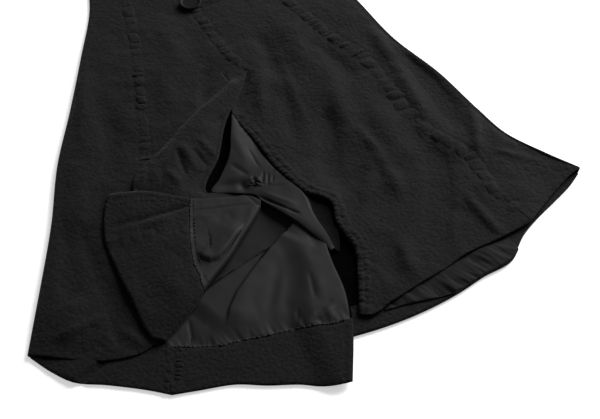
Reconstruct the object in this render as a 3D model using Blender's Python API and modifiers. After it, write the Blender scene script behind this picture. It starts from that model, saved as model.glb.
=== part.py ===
"""Flared, gored wool skirt with a lined slit at front and back, laid flat on its back.

Frame: +X across the skirt, +Y from the hem to the waist, +Z up. The origin is on the surface that
the skirt lies on, on the skirt's centre line. Tables are in millimetres; meshes are in metres.
"""
import math

import bpy
import numpy as np

# ---- driving sizes, in millimetres ----
MM = 0.001
GAP = 0.3                    # between pieces where they are sewn
WOOL = 2.0                   # wall of the wool cloth
SATIN = 1.0                  # wall of the lining
WAIST_Y = 500.0              # seam between the gores and the waistband
BAND_DEPTH = 40.0
GORE_LENGTH = 740.0          # of the back gores, from waist seam to hem
SIDE_LENGTH = 620.0          # of the side gores
FRONT_LENGTH = 833.0         # of the front gores, measured by their upper rows
BAND_WALL = 3.0
HALF_WAIST = 152.0           # half of the waistband's flat width
BACK_Z = WOOL / 2            # middle of the back cloth, which lies on the surface
FRONT_Z_WAIST = 4.0          # middle of the front cloth at the waist
FRONT_Z_HEM = 9.0            # and at the hem, where more layers lie under it
FACING_LIFT = WOOL + GAP     # a hem facing lies this far from the cloth it is sewn to
LINING_LIFT = WOOL / 2 + GAP + SATIN / 2
SLIT_TOP = 0.355             # where the front slit starts, as a share of the way from waist to hem
LAP_LIFT = 2.7               # of the back left gore where it laps over the back right one
ROLL_RADIUS = 1.7            # of the back right hem, which is rolled under
ROLL_LIFT = 2 * ROLL_RADIUS
HEM_SLANT = 0.22             # run of back seam 3 for each millimetre along the skirt, near the hem
PLEAT_STEP = 3.2             # height between the layers of the pleat beside the slit
EDGE_LIFT = 7.0              # of the front right slit edge where it rides on the lining
TUCK_RADIUS = 1.6            # of the roll beside the slit, whose edge is tucked under
TUCK_INSET = 2.5             # of the middle of that roll from the pleat's far side
TUCK_SHORT, TUCK_LONG = 3.0, 19.0   # how far the edge goes back under the pleat
TURN_RADIUS = 3.6            # of the corner that is turned over
PLEAT_REST = 0.4             # height at which the pleat's far side comes to rest on the front
BUTTON_RADIUS = 15.0
BUTTON_HEIGHT = 4.0
BUTTON_RIM = 2.2

# ---- finishes: linear colour, roughness ----
FINISHES = {
    "wool": ((0.012, 0.012, 0.013), 0.95),
    "satin": ((0.030, 0.030, 0.032), 0.45),
    "horn": ((0.020, 0.020, 0.020), 0.40)}

# ---- where the rows of points lie, from the waist seam (0) to the hem (1); neighbours share them ----
TO_SLIT = [0.0, 0.12, 0.24, 0.31, SLIT_TOP]
TURN_STARTS = 0.60           # on the way from the slit's top to the hem, where the corner starts to turn
LAST_TUCKED = TURN_STARTS - 0.0001
CORNER_WAYS = [0.08, 0.15, 0.24, 0.33, 0.41, 0.48, 0.54, LAST_TUCKED, 0.64, 0.70, 0.78, 0.84, 0.92, 1.0]
LEFT_WAYS = TO_SLIT + [SLIT_TOP + (1 - SLIT_TOP) * way for way in CORNER_WAYS]
RIGHT_WAYS = TO_SLIT + [0.42, 0.48, 0.54, 0.60, 0.66, 0.72, 0.78, 0.84, 0.92, 1.0]

# ---- seams and edges: way (0 at the waist seam, 1 at the hem), x, y ----
LEFT_FOLD = [
    (0.00, -152, 500), (0.10, -164, 440), (0.25, -199, 348), (0.40, -236, 256), (0.55, -275, 165),
    (0.70, -305, 71), (0.85, -340, -21), (1.00, -377, -114)]
RIGHT_FOLD = [
    (0.00, 152, 500), (0.10, 168, 445), (0.25, 197, 340), (0.40, 219, 248), (0.55, 254, 165),
    (0.70, 278, 85), (0.80, 297, 31), (0.90, 332, -17), (1.00, 364, -55)]
FRONT_SEAM_1 = [
    (0.00, -108, 500), (0.10, -112, 436), (0.25, -124, 338), (0.40, -143, 242), (0.55, -163, 145),
    (0.70, -184, 48), (0.85, -208, -50), (1.00, -236, -150)]
FRONT_SEAM_2 = [
    (0.00, -27, 500), (0.12, -27, 400), (0.19, -19, 352), (0.26, -12, 307), (0.32, -2, 271),
    (0.355, 9, 251)]
FRONT_SEAM_3 = [
    (0.00, 75, 500), (0.12, 92, 410), (0.24, 115, 333), (0.33, 136, 277), (0.43, 166, 223),
    (0.53, 178, 157), (0.66, 193, 79), (0.78, 234, 8), (0.87, 240, -45), (1.00, 265, -119)]
FRONT_RIGHT_SLIT = [
    (0.355, 9, 251), (0.42, 0, 212), (0.48, -33, 173), (0.54, -22, 124), (0.62, -10, 67), (0.70, 11, 13),
    (0.76, 37, -15), (0.80, 33, -42), (0.86, 41, -87), (0.93, 30, -132), (1.00, 12, -186)]
BACK_SEAM_1 = [
    (0.00, -108, 500), (0.25, -130, 330), (0.50, -165, 155), (0.75, -200, -35), (1.00, -231, -220)]
BACK_SEAM_3 = [
    (0.00, 108, 500), (0.25, 132, 345), (0.50, 170, 180), (0.75, 203, 15), (1.00, 235, -150)]
BACK_LEFT_EDGE = [
    (0.00, -6, 500), (0.20, -4, 350), (0.355, 2, 245), (0.50, 14, 120), (0.65, 18, -10),
    (0.75, 11, -91), (0.86, 9, -160), (0.94, -6, -217), (1.00, -27, -273)]
BACK_RIGHT_EDGE = [
    (0.00, -5, 500), (0.20, -3, 350), (0.355, 4, 245), (0.50, -4, 120), (0.75, -9, -60),
    (1.00, -12, -209)]

# ---- hems: x, y ----
HEM_FRONT_LEFT_SIDE = [(-377, -114), (-326, -139), (-277, -155), (-246, -154), (-236, -150)]
HEM_BACK_LEFT_SIDE = [(-377, -114), (-354, -147), (-337, -165), (-298, -183), (-250, -208), (-231, -220)]
HEM_BACK_LEFT = [
    (-231, -220), (-199, -224), (-155, -230), (-121, -243), (-87, -253), (-42, -272), (-27, -273)]
HEM_BACK_RIGHT = [(-12, -209), (33, -208), (79, -203), (143, -188), (176, -176), (224, -161), (235, -150)]
HEM_BACK_RIGHT_SIDE = [(235, -150), (247, -136), (278, -112), (310, -93), (341, -74), (364, -55)]
HEM_FRONT_RIGHT = [
    (12, -186), (25, -191), (54, -181), (100, -165), (142, -151), (170, -140), (228, -129), (265, -119)]
HEM_FRONT_RIGHT_SIDE = [(265, -119), (319, -78), (352, -59), (364, -55)]

# ---- the front left corner, from the slit's top (way 0) to the hem (way 1) ----
# crest: edge of the pleat that the turned corner pulls up; depth: how far the pleat goes back under it;
# swell: height of the roll between the crest and its far side
PLEAT = [
    # way, crest x, crest y, depth, swell
    (0.00, -20, 236, 0, 0),
    (0.08, -30, 224, 0, 3),
    (0.19, -79, 194, 15, 5),
    (0.33, -136, 147, 32, 6),
    (0.48, -190, 100, 46, 5),
    (0.60, -198, 42, 30, 0),
    (0.80, -208, -55, 20, 0),
    (0.92, -220, -115, 9, 0),
    (1.00, -231, -148, 0, 0)]
# far: where the top layer ends, first at the roll beside the slit, then at the turned fold
FAR_SIDE = [
    # way, x, y
    (0.00, 9, 251), (0.08, -11, 217), (0.19, -44, 173), (0.33, -72, 115), (0.48, -104, 54),
    (0.54, -80, 38), (0.60, -47, 27), (0.72, -98, -42), (0.84, -142, -82), (0.92, -179, -115),
    (1.00, -221, -147)]
# edge of the turned corner that is the slit's edge, from the turned fold to the corner
TURNED_SLIT_EDGE = [(-47, 27), (-60, 31), (-130, 48), (-176, 74), (-225, 90)]
# and the edge that is the hem, from the turned fold to the corner
TURNED_HEM_EDGE = [
    (-221, -147), (-236, -130), (-239, -104), (-246, -33), (-247, 17), (-238, 60), (-225, 90)]

# ---- depth of the hem facings and of the wool below the back right lining: share of the hem, depth ----
FACING_BACK_SIDE = [(0.0, 44), (0.5, 60), (1.0, 66)]
FACING_BACK = [(0.0, 66), (0.3, 52), (0.6, 64), (1.0, 73)]
WOOL_BELOW_LINING = [(0.0, 22), (0.25, 18), (0.42, 9), (0.55, 3), (1.0, 3)]
LINING_TURNED_STARTS = 0.64  # way at which the turned corner's lining starts to show
FACING_TURNED_STARTS = 0.78  # way at which the turned corner's facing meets its lining
LINING_TOP = 8               # row of the back left gore at which its lining ends, hidden under the front
SLIT_MARGIN = 8.0            # wool that shows between the lining and the slit's edge

# ---- folds of the back lining: x and y of both ends, half width, height ----
LINING_FOLDS = [
    # x0, y0, x1, y1, half width, height
    (-30, -50, -112, -112, 22, 4)]     # raised edge beside the hollow

# ---- strip of lining that comes down the slit and crosses it: x and y of both edges, height ----
SLIT_LINING = [
    # left x, left y, right x, right y, height
    (-35, 176, -33, 175, 6.0),         # tip of the tongue at the slit's top
    (-47, 140, -31, 137, 6.2),
    (-56, 113, -25, 110, 6.2),
    (-64, 92, -22, 89, 7.2),
    (-62, 74, -18, 70, 8.4),
    (-56, 54, -12, 48, 9.4),           # gathered into a knot
    (-41, 34, 0, 24, 11.5),            # band that crosses the slit
    (-36, 14, 8, 4, 12.5),
    (-28, -4, 9, -12, 12.5),
    (-14, -24, 12, -28, 12.0),
    (-3, -48, 15, -52, 11.0),
    (10, -76, 18, -75, 10.0)]          # end, under the front right gore
SLIT_LINING_ARCH = 1.5

# ---- front closing ----
PLACKET_LEFT, PLACKET_RIGHT = -34.0, 18.0
PLACKET_FOOT = 391.0
BUTTON_X = -28.0
BUTTON_LOW_Y, BUTTON_HIGH_Y = 402.0, 520.0


def smooth(table, way):
    """Point of a table at a way along it, on a smooth curve through its rows."""
    ways = [row[0] for row in table]
    rows = np.array([row[1:] for row in table], dtype=float)
    way = min(max(way, ways[0]), ways[-1])
    slopes = np.gradient(rows, ways, axis=0)
    index = min(max(int(np.searchsorted(ways, way, side="right")) - 1, 0), len(ways) - 2)
    span = ways[index + 1] - ways[index]
    u = (way - ways[index]) / span
    start, end = rows[index], rows[index + 1]
    bend = u * (1 - u) * span * ((1 - u) * (slopes[index] - (end - start) / span)
                                 - u * (slopes[index + 1] - (end - start) / span))
    return start + (end - start) * u + bend


def outline(points, share):
    """Point at a share of an outline's length."""
    points = np.array(points, dtype=float)
    steps = np.linalg.norm(np.diff(points, axis=0), axis=1)
    ways = np.concatenate([[0], np.cumsum(steps)]) / steps.sum()
    table = [(way, *point) for way, point in zip(ways, points)]
    return smooth(table, share)


def ease(value):
    value = min(max(value, 0.0), 1.0)
    return value * value * (3 - 2 * value)


def front_height(way):
    return FRONT_Z_WAIST + (FRONT_Z_HEM - FRONT_Z_WAIST) * ease(way / 0.4)


def between(left, right, hem, way, share):
    """Point of a gore between two seams, drawn to its hem's own line near the hem."""
    start, end = smooth(left, way), smooth(right, way)
    corner = outline(hem, 0.0), outline(hem, 1.0)
    to_hem = outline(hem, share) - (corner[0] + (corner[1] - corner[0]) * share)
    return start + (end - start) * share + to_hem * way ** 3


# ---- solids ----
def material(name, finish):
    colour, roughness = FINISHES[finish]
    made = bpy.data.materials.new(f"{name}_{finish}")
    made.use_nodes = True
    shader = made.node_tree.nodes["Principled BSDF"]
    shader.inputs["Base Color"].default_value = (*colour, 1.0)
    shader.inputs["Roughness"].default_value = roughness
    made.diffuse_color = (*colour, 1.0)
    return made


def place(name, mesh, finish):
    obj = bpy.data.objects.new(name, mesh)
    obj.data.materials.append(material(name, finish))
    skirt.objects.link(obj)
    return obj


def sheet(name, rows, wall, finish):
    """A cloth wall: rows of points joined as an open surface, then thickened to both sides."""
    count, width = len(rows), len(rows[0])
    points = [tuple(np.array(point) * MM) for row in rows for point in row]
    faces = [(i * width + j, i * width + j + 1, (i + 1) * width + j + 1, (i + 1) * width + j)
             for i in range(count - 1) for j in range(width - 1)]
    mesh = bpy.data.meshes.new(name)
    mesh.from_pydata(points, [], faces)
    mesh.shade_smooth()
    obj = place(name, mesh, finish)
    shell = obj.modifiers.new("wall", "SOLIDIFY")
    shell.thickness = wall * MM
    shell.offset = 0.0
    return obj


def lifted(rows, distance):
    """The same rows moved out along the surface's normal."""
    grid = np.array(rows, dtype=float)
    along = np.gradient(grid, axis=0)
    across = np.gradient(grid, axis=1)
    normal = np.cross(across, along)
    normal /= np.linalg.norm(normal, axis=2, keepdims=True)
    return grid + normal * distance


# ---- gores ----
def side_gore(name, front_seam, fold, back_seam, front_hem, back_hem, ways, side):
    """Gore that goes from a front seam round the side fold to a back seam."""
    rows = []
    for way in ways:
        high = front_height(way)
        radius = (high - BACK_Z) / 2
        outer = smooth(fold, way)
        seam = smooth(front_seam, way)
        out = (outer - seam) / np.linalg.norm(outer - seam)
        inset = radius / np.linalg.norm(outer - seam)
        row = []
        for share in np.linspace(1, 0, 5):
            place_on = 1 - inset - (1 - inset) * share + share * GAP / 100
            point = between(front_seam, fold, front_hem, way, place_on)
            row.append((*point, high))
        centre = np.array(row[-1][:2])
        for turn in (45, 0, -45):
            reach = radius * math.cos(math.radians(turn))
            rise = radius * math.sin(math.radians(turn))
            row.append((*(centre + out * reach), BACK_Z + radius + rise))
        for share in np.linspace(0, 1, 5):
            place_on = inset + (1 - inset) * share - share * GAP / 150
            point = between(fold, back_seam, back_hem, way, place_on)
            row.append((*point, BACK_Z))
        rows.append(row if side < 0 else row[::-1])
    sheet(name, rows, WOOL, "wool")


def front_right_height(way, share):
    """The front rises over the rolled hem beneath it, and where its slit's edge rides on the lining."""
    over_hem = 1.5 * ease((way - 0.6) / 0.3)
    over_lining = EDGE_LIFT * math.exp(-((way - 0.73) / 0.10) ** 2) * (1 - ease(share / 0.35))
    return front_height(way) + over_hem + over_lining


def front_right():
    rows = []
    for way in RIGHT_WAYS:
        row = []
        for share in np.linspace(0, 1, 7):
            edge = FRONT_SEAM_2 if way < SLIT_TOP else FRONT_RIGHT_SLIT
            point = between(edge, FRONT_SEAM_3, HEM_FRONT_RIGHT, way, share)
            row.append((*(point + (GAP * (1 - 2 * share), 0)), front_right_height(way, share)))
        rows.append(row)
    sheet("front_right", rows, WOOL, "wool")


def back_left_point(way, share):
    """Back left gore: flat on the surface, lifted where it laps over the back right gore."""
    x, y = between(BACK_SEAM_1, BACK_LEFT_EDGE, HEM_BACK_LEFT, way, share)
    starts = -48 - 24 * ease((way - 0.75) / 0.15)
    lap = ease((way - 0.26) / 0.10) * ease((x - starts) / 34)
    height = LAP_LIFT + ROLL_LIFT * ease((way - 0.66) / 0.10)
    return np.array((x + GAP * (1 - share), y, BACK_Z + height * lap))


def back_left():
    shares = np.linspace(0, 1, 8)
    rows = np.array([[back_left_point(way, share) for share in shares] for way in LEFT_WAYS])
    sheet("back_left", rows, WOOL, "wool")
    return rows


def back_right_point(way, share):
    """Back right gore: flat on the surface, rising to the roll at its hem."""
    x, y = between(BACK_RIGHT_EDGE, BACK_SEAM_3, HEM_BACK_RIGHT, way, share)
    inset = ROLL_RADIUS * ease((way - 0.84) / 0.16)
    lift = ROLL_LIFT * ease((way - 0.72) / 0.12)
    return np.array((x - (GAP + HEM_SLANT * inset) * share, y + inset, BACK_Z + lift))


def back_right():
    shares = np.linspace(0, 1, 7)
    flat = np.array([[back_right_point(way, share) for share in shares] for way in RIGHT_WAYS])
    rows, edge = flat.tolist(), flat[-1]
    for turn, inward in ((45, 0), (0, 0), (-45, 0), (-90, 0), (-90, 9)):
        out = ROLL_RADIUS * math.cos(math.radians(turn)) - inward
        drop = ROLL_RADIUS * (1 - math.sin(math.radians(turn)))
        rows.append([(x + HEM_SLANT * out * share, y - out, z - drop)
                     for (x, y, z), share in zip(edge, shares)])
    sheet("back_right", rows, WOOL, "wool")
    return flat


# ---- the front left gore: pleated beside the slit, its corner turned over ----
MAIN, BEND, UNDER, TOP, FLAP = 4, 3, 2, 7, 8   # points across each stretch of a row
TURN_COLUMN = MAIN + 2 * BEND + UNDER + TOP


def bent(centre, out, radius, height, turns):
    """Points round a bend of the cloth: its centre in plan, the way it faces and its middle's height."""
    return [(*(centre + out * radius * math.cos(math.radians(turn))),
             height + abs(radius) * math.sin(math.radians(turn))) for turn in turns]


def corner_row(way):
    """One row across the front left gore, from seam 1 to the slit's edge."""
    high = front_height(SLIT_TOP + (1 - SLIT_TOP) * way)
    seam = smooth(FRONT_SEAM_1, SLIT_TOP + (1 - SLIT_TOP) * way)
    *crest, depth, swell = smooth(PLEAT, way)
    far = smooth(FAR_SIDE, way)
    crest = np.array(crest)
    step = PLEAT_STEP * ease(way / 0.08) * (1 - ease((way - 0.90) / 0.08))
    out = (far - crest) / np.linalg.norm(far - crest)
    radius = step / 2
    inner = crest + out * (depth - radius)
    start = crest + out * radius
    row = [(*(seam + (inner - seam) * share), high) for share in np.linspace(0, 1, MAIN)]
    row += bent(inner, out, radius, high + radius, (-45, 0, 45))
    row += [(*(inner + (start - inner + out * radius) * share), high + step) for share in (0.15, 0.85)]
    row += bent(start, out, -radius, high + step + radius, (-45, 0, 45))
    turned = ease((way - TURN_STARTS) / 0.05)
    stop = far - out * (TURN_RADIUS * turned + TUCK_INSET * (1 - turned))
    low = high + PLEAT_REST
    for share in np.linspace(0, 1, TOP):
        fall = (2 * step - PLEAT_REST) * ease((share - 0.35) / 0.65)
        arch = max(swell, 0) * max(math.sin(math.pi * min(share * 1.05, 1)), 0) ** 0.8
        row.append((*(start + (stop - start) * share), high + 2 * step - fall + arch))
    end = tucked_edge if way < TURN_STARTS else turned_corner
    return row + end(way, far, out, low)


def tucked_edge(way, far, out, low):
    """End of a row beside the slit: rolled down and back under the pleat."""
    centre = far - out * TUCK_INSET
    tail = TUCK_SHORT + (TUCK_LONG - TUCK_SHORT) * ease(way / 0.2) * (1 - ease((way - 0.5) / 0.1))
    roll = bent(centre, out, TUCK_RADIUS, low - TUCK_RADIUS, (60, 20, -20, -60, -90))
    shares = np.linspace(1 / FLAP, 1, FLAP)
    return roll + [(*(centre - out * tail * share), low - 2 * TUCK_RADIUS) for share in shares]


def turned_corner(way, far, out, low):
    """End of a row below: rolled up and over, with its inner side up, to the slit's edge."""
    share_turned = (way - TURN_STARTS) / (1 - TURN_STARTS)
    end = outline(TURNED_SLIT_EDGE, share_turned)
    centre = far - out * TURN_RADIUS
    row = bent(centre, out, TURN_RADIUS, low + TURN_RADIUS, (-60, -25, 10, 45, 80))
    first, last = np.array(TURNED_HEM_EDGE[0]), np.array(TURNED_HEM_EDGE[-1])
    for share in np.linspace(1 / FLAP, 1, FLAP):
        to_hem = outline(TURNED_HEM_EDGE, share) - (first + (last - first) * share)
        x, y = centre + (end - centre) * share + to_hem * share_turned ** 3
        over_pleat = 2.6 * math.exp(-((x + 195) / 40) ** 2)
        beyond = 3.0 * ease((-205 - x) / 30) * ease((y + 20) / 90)
        row.append((x, y, low + 2 * TURN_RADIUS + over_pleat - beyond))
    return row


def plain_row(way, shares):
    """Row above the slit, with its points spaced as in the first row below it."""
    left, right = smooth(FRONT_SEAM_1, way), smooth(FRONT_SEAM_2, way) - (2 * GAP, 0)
    return [(*(left + (right - left) * share), front_height(way)) for share in shares]


def front_left(corner):
    runs = np.linalg.norm(np.diff(corner[0], axis=0), axis=1)
    shares = np.concatenate([[0], np.cumsum(runs)]) / runs.sum()
    grid = np.array([plain_row(way, shares) for way in TO_SLIT] + corner.tolist())
    grid[:, 0, 0] += GAP
    sheet("front_left", grid, WOOL, "wool")


def turned_corner_inside(corner):
    """Hem facing and lining of the turned corner: they lie on its inner side, which is up there."""
    first, starts = CORNER_WAYS.index(LINING_TURNED_STARTS), CORNER_WAYS.index(FACING_TURNED_STARTS)
    turned = corner[first:, TURN_COLUMN - 1:]
    facing = lifted(turned, FACING_LIFT)[starts - first:]
    lining = lifted(turned, LINING_LIFT)[:starts - first + 1]
    lining[-1] += (lining[-2] - lining[-1]) * 0.02
    sheet("facing_turned", facing, WOOL, "wool")
    sheet("lining_turned", lining, SATIN, "satin")


# ---- inside of the back ----
def depth_at(table, share):
    return float(np.interp(share, [row[0] for row in table], [row[1] for row in table]))


def fold_relief(x, y):
    """Height of the lining's folds over a place on the floor."""
    height = 0.0
    for x0, y0, x1, y1, half_width, rise in LINING_FOLDS:
        run = np.array((x1 - x0, y1 - y0), dtype=float)
        along = np.clip(np.dot((x - x0, y - y0), run) / np.dot(run, run), 0, 1)
        off = np.hypot(x - x0 - run[0] * along, y - y0 - run[1] * along) / half_width
        height = max(height, rise * (1 - ease(off)))
    return height


def facing_back_side():
    rows = []
    for into in (0.0, 0.33, 0.67, 1.0):
        row = []
        for share in np.linspace(0.06, 1, 7):
            depth = depth_at(FACING_BACK_SIDE, share) * (1 - into)
            way = 1 - depth / SIDE_LENGTH
            x, y = between(LEFT_FOLD, BACK_SEAM_1, HEM_BACK_LEFT_SIDE, way, share)
            row.append((x - GAP * share, y, BACK_Z + FACING_LIFT))
        rows.append(row)
    sheet("facing_back_side", rows, WOOL, "wool")


def facing_way(share):
    """Way at which the back left facing meets its lining."""
    return 1 - depth_at(FACING_BACK, share) / GORE_LENGTH


def on_panel(panel, ways, way, column):
    """Point of a panel at a way and a column, which may lie between two of its columns."""
    rows = panel[:, int(column)] + (panel[:, math.ceil(column)] - panel[:, int(column)]) * (column % 1)
    return np.array([np.interp(way, ways, rows[:, axis]) for axis in range(3)])


def finer(values):
    """The same values with the middle of each step added."""
    return sorted([*values, *((a + b) / 2 for a, b in zip(values[:-1], values[1:]))])


def facing_back(panel):
    rows = []
    last = panel.shape[1] - 1
    for row in range(3):
        ways = [(facing_way(column / last), *LEFT_WAYS[-2:])[row] for column in range(last + 1)]
        rows.append([on_panel(panel, LEFT_WAYS, way, column) + (0, 0, FACING_LIFT + GAP)
                     for column, way in enumerate(ways)])
    sheet("facing_back", rows, WOOL, "wool")


def lining_back_left(panel):
    rows = []
    last = panel.shape[1] - 1
    columns = finer(range(last + 1))
    ways = finer(LEFT_WAYS[LINING_TOP:-2])
    for way in [*ways, None]:
        row = []
        for column in columns:
            meets = facing_way(column / last) - 5 * GAP / GORE_LENGTH
            x, y, z = on_panel(panel, LEFT_WAYS, way or meets, column)
            inset = SLIT_MARGIN * ease((column - last + 2) / 2)
            fade = ease((meets - (way or meets)) / 0.05) * ease(((way or meets) - ways[0]) / 0.06)
            row.append((x - inset, y, z + LINING_LIFT + GAP + fold_relief(x, y) * fade))
        rows.append(row)
    sheet("lining_back_left", rows, SATIN, "satin")


def lining_back_right(panel):
    """Lining beside the back left gore's edge, which laps over the back right gore's first column."""
    rows = []
    last = panel.shape[1] - 1
    for way in [*RIGHT_WAYS[-4:-1], None]:
        row = []
        for column in range(1, last + 1):
            ends = 1 - depth_at(WOOL_BELOW_LINING, column / last) / GORE_LENGTH
            row.append(on_panel(panel, RIGHT_WAYS, way or ends, column) + (0, 0, LINING_LIFT + GAP))
        rows.append(row)
    sheet("lining_back_right", rows, SATIN, "satin")


def lining_slit():
    """Strip of lining that lies in the slit: a tongue, then a band that crosses over the back lining."""
    rows = []
    for left_x, left_y, right_x, right_y, height in SLIT_LINING:
        left, right = np.array((left_x, left_y)), np.array((right_x, right_y))
        arch = SLIT_LINING_ARCH * ease(np.linalg.norm(right - left) / 40)
        rows.append([(*(left + (right - left) * share), height - arch * (2 * share - 1) ** 2)
                     for share in np.linspace(0, 1, 5)])
    sheet("lining_slit", rows, SATIN, "satin")


# ---- waistband and closing ----
def waistband():
    """One strip round the waist; its right end laps over its left end at the front."""
    low, high, lapped = BAND_WALL / 2, BAND_WALL * 1.5 + 0.6, BAND_WALL * 2.5 + 1.0
    radius = (high - low) / 2
    straight = HALF_WAIST - BAND_WALL / 2 - radius
    path = [(PLACKET_LEFT, lapped), (-15, lapped), (22, lapped), (48, high), (100, high), (straight, high)]
    for turn in (45, 0, -45):
        angle = math.radians(turn)
        path.append((straight + radius * math.cos(angle), low + radius + radius * math.sin(angle)))
    path += [(x, low) for x in np.linspace(straight, -straight, 6)]
    for turn in (-45, 0, 45):
        angle = math.radians(turn)
        path.append((-straight - radius * math.cos(angle), low + radius + radius * math.sin(angle)))
    path += [(-straight, high), (-80, high), (-12, high)]
    rows = [[(x, y, z) for x, z in path] for y in np.linspace(WAIST_Y + 2 * GAP, WAIST_Y + BAND_DEPTH, 3)]
    sheet("waistband", rows, BAND_WALL, "wool")


def placket_height(y):
    """Middle of the placket, which lies on the front between its first rows."""
    on_front = np.interp((WAIST_Y - y) / FRONT_LENGTH, TO_SLIT, [front_height(way) for way in TO_SLIT])
    return float(on_front) + FACING_LIFT


def placket():
    """Strip that the right front laps over the left with, down to the lowest button."""
    rows = []
    for y in np.linspace(WAIST_Y - 2 * GAP, PLACKET_FOOT, 6):
        rows.append([(x, y, placket_height(y)) for x in np.linspace(PLACKET_LEFT, PLACKET_RIGHT, 5)])
    sheet("placket", rows, WOOL, "wool")


def button(name, y, rests_at):
    """Turned button: a shank, a flat disc and a raised rim."""
    shank, inner = 3.5, BUTTON_RADIUS - BUTTON_RIM
    top = rests_at + BUTTON_HEIGHT
    profile = [(0, top - 1.0), (inner - 1.0, top - 1.0), (inner, top - 0.3), (BUTTON_RADIUS - 1.0, top),
               (BUTTON_RADIUS, top - 0.9), (BUTTON_RADIUS - 1.2, top - 2.4), (shank, top - 2.6),
               (shank, rests_at), (0, rests_at)]
    mesh = bpy.data.meshes.new(name)
    edges = [(i, i + 1) for i in range(len(profile) - 1)]
    mesh.from_pydata([(r * MM, 0, z * MM) for r, z in profile], edges, [])
    obj = place(name, mesh, "horn")
    obj.location = (BUTTON_X * MM, y * MM, 0)
    turn = obj.modifiers.new("turned", "SCREW")
    turn.steps = turn.render_steps = 24
    turn.use_merge_vertices = True
    turn.merge_threshold = 0.00005


# ---- build ----
for obj in list(bpy.data.objects):
    bpy.data.objects.remove(obj, do_unlink=True)
skirt = bpy.data.collections.new("flared_skirt")
bpy.context.scene.collection.children.link(skirt)

side_gore("side_left", FRONT_SEAM_1, LEFT_FOLD, BACK_SEAM_1,
          HEM_FRONT_LEFT_SIDE[::-1], HEM_BACK_LEFT_SIDE, LEFT_WAYS, -1)
side_gore("side_right", FRONT_SEAM_3, RIGHT_FOLD, BACK_SEAM_3,
          HEM_FRONT_RIGHT_SIDE, HEM_BACK_RIGHT_SIDE[::-1], RIGHT_WAYS, 1)
front_right()
back_left_panel = back_left()
back_right_panel = back_right()
corner_rows = np.array([corner_row(way) for way in CORNER_WAYS])
front_left(corner_rows)
turned_corner_inside(corner_rows)
facing_back_side()
facing_back(back_left_panel)
lining_back_left(back_left_panel)
lining_back_right(back_right_panel)
lining_slit()
waistband()
placket()
button("button_placket", BUTTON_LOW_Y, placket_height(BUTTON_LOW_Y) + WOOL / 2 + GAP)
button("button_waist", BUTTON_HIGH_Y, BAND_WALL * 3 + 1.0 + GAP)
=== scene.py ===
"""Looks of a black flared wool skirt with lined slits, laid flat on its back.

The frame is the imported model: +X across the skirt, +Y from the hem to the waist, +Z up from the floor.
Tables are in millimetres; meshes are in metres. Heights are of the middle of the cloth.
"""
import math

import bpy
import numpy as np
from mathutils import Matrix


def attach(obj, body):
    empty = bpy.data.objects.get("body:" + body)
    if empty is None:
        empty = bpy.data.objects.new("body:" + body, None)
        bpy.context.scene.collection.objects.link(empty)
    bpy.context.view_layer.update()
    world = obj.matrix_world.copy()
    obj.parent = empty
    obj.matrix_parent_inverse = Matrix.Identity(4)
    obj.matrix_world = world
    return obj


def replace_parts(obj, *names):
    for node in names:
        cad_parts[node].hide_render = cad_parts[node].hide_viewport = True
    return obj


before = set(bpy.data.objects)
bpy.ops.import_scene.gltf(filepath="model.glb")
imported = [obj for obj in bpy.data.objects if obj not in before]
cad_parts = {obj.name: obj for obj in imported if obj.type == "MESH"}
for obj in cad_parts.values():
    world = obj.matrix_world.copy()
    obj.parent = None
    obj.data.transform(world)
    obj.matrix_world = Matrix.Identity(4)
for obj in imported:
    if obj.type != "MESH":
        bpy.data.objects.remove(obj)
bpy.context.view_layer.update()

# ---- sizes, in millimetres ----
MM = 0.001
WOOL, SATIN = 1.9, 0.6       # walls
SATIN_LIFT = 1.8             # of a lining over the wool that it is sewn to
FACING_LIFT = 2.3            # of a hem facing over the wool that it is sewn to
CLEAR = 0.3                  # more lift, where cloth only lies on cloth
SEAM_RIM, EDGE_RIM = 0.15, 1.4    # width in which the wall is rounded off, at a seam and at a free edge
WAIST_Y, HALF_WAIST = 500.0, 152.0
BAND_DEPTH, BAND_WALL, BAND_LAP = 40.0, 3.0, 1.2     # of the waistband, and its lap over the gores
GORE_LENGTH, SIDE_LENGTH = 740.0, 620.0     # from way 0 to 1 in a gore, and at a side fold
MIDDLE_LENGTH = 833.0        # the same in the front's middle, at its slope near the waist
CORNER_LENGTH = 480.0        # of the front left gore below the slit's top
BACK_Z = 1.0
FRONT_Z_WAIST, FRONT_Z_HEM = 4.0, 9.0
SLIT_TOP = 0.355             # where the front slit starts, as a share of the way from waist to hem
LAP_LIFT = 2.7               # of the back left gore over the back right one
ROLL_RADIUS = 1.7            # of the back right gore's hem, rolled under
ROLL_LIFT = 2 * ROLL_RADIUS
ROLL_TURNS = [(60, 0), (30, 0), (0, 0), (-30, 0), (-60, 0), (-90, 0), (-90, 4), (-90, 9)]   # degrees, inward
HEM_SLANT = 0.22             # of the back right gore's outer seam: across, for each unit down
DARK_ABOVE, DARK_SLANT = -172.0, 0.25       # painted shade: the back right gore gets the near-black wool above this line, as if in the slit's shadow
PLEAT_STEP = 3.2             # between the layers of the pleat
EDGE_LIFT = 7.0              # of the slit's right edge over the strip of lining
SEAM_SINK, SEAM_RISE, SEAM_LAP = 0.7, 0.45, 1.2   # where a lining laps over its facing: facing, lining, lap
SLIT_DIP, DIP_WIDTH = 1.5, 14.0   # of the slit's right edge, which curls down below the slit's top
TUCK_RADIUS, TURN_RADIUS = 1.6, 3.2
BUTTON_RADIUS = 15.0
BUTTON_X, BUTTON_LOW_Y, BUTTON_HIGH_Y = -28.0, 402.0, 520.0
PLACKET_LEFT, PLACKET_RIGHT, PLACKET_FOOT = -34.0, 18.0, 391.0
FINE, COARSE = 2.6, 7.0      # spacing of points on cloth that shows, and on cloth that is underneath
SHOWN_BELOW = 400.0          # the photograph shows the skirt up to here
FOLD_RISE = 1.9              # of the front's folds, against their table
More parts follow.
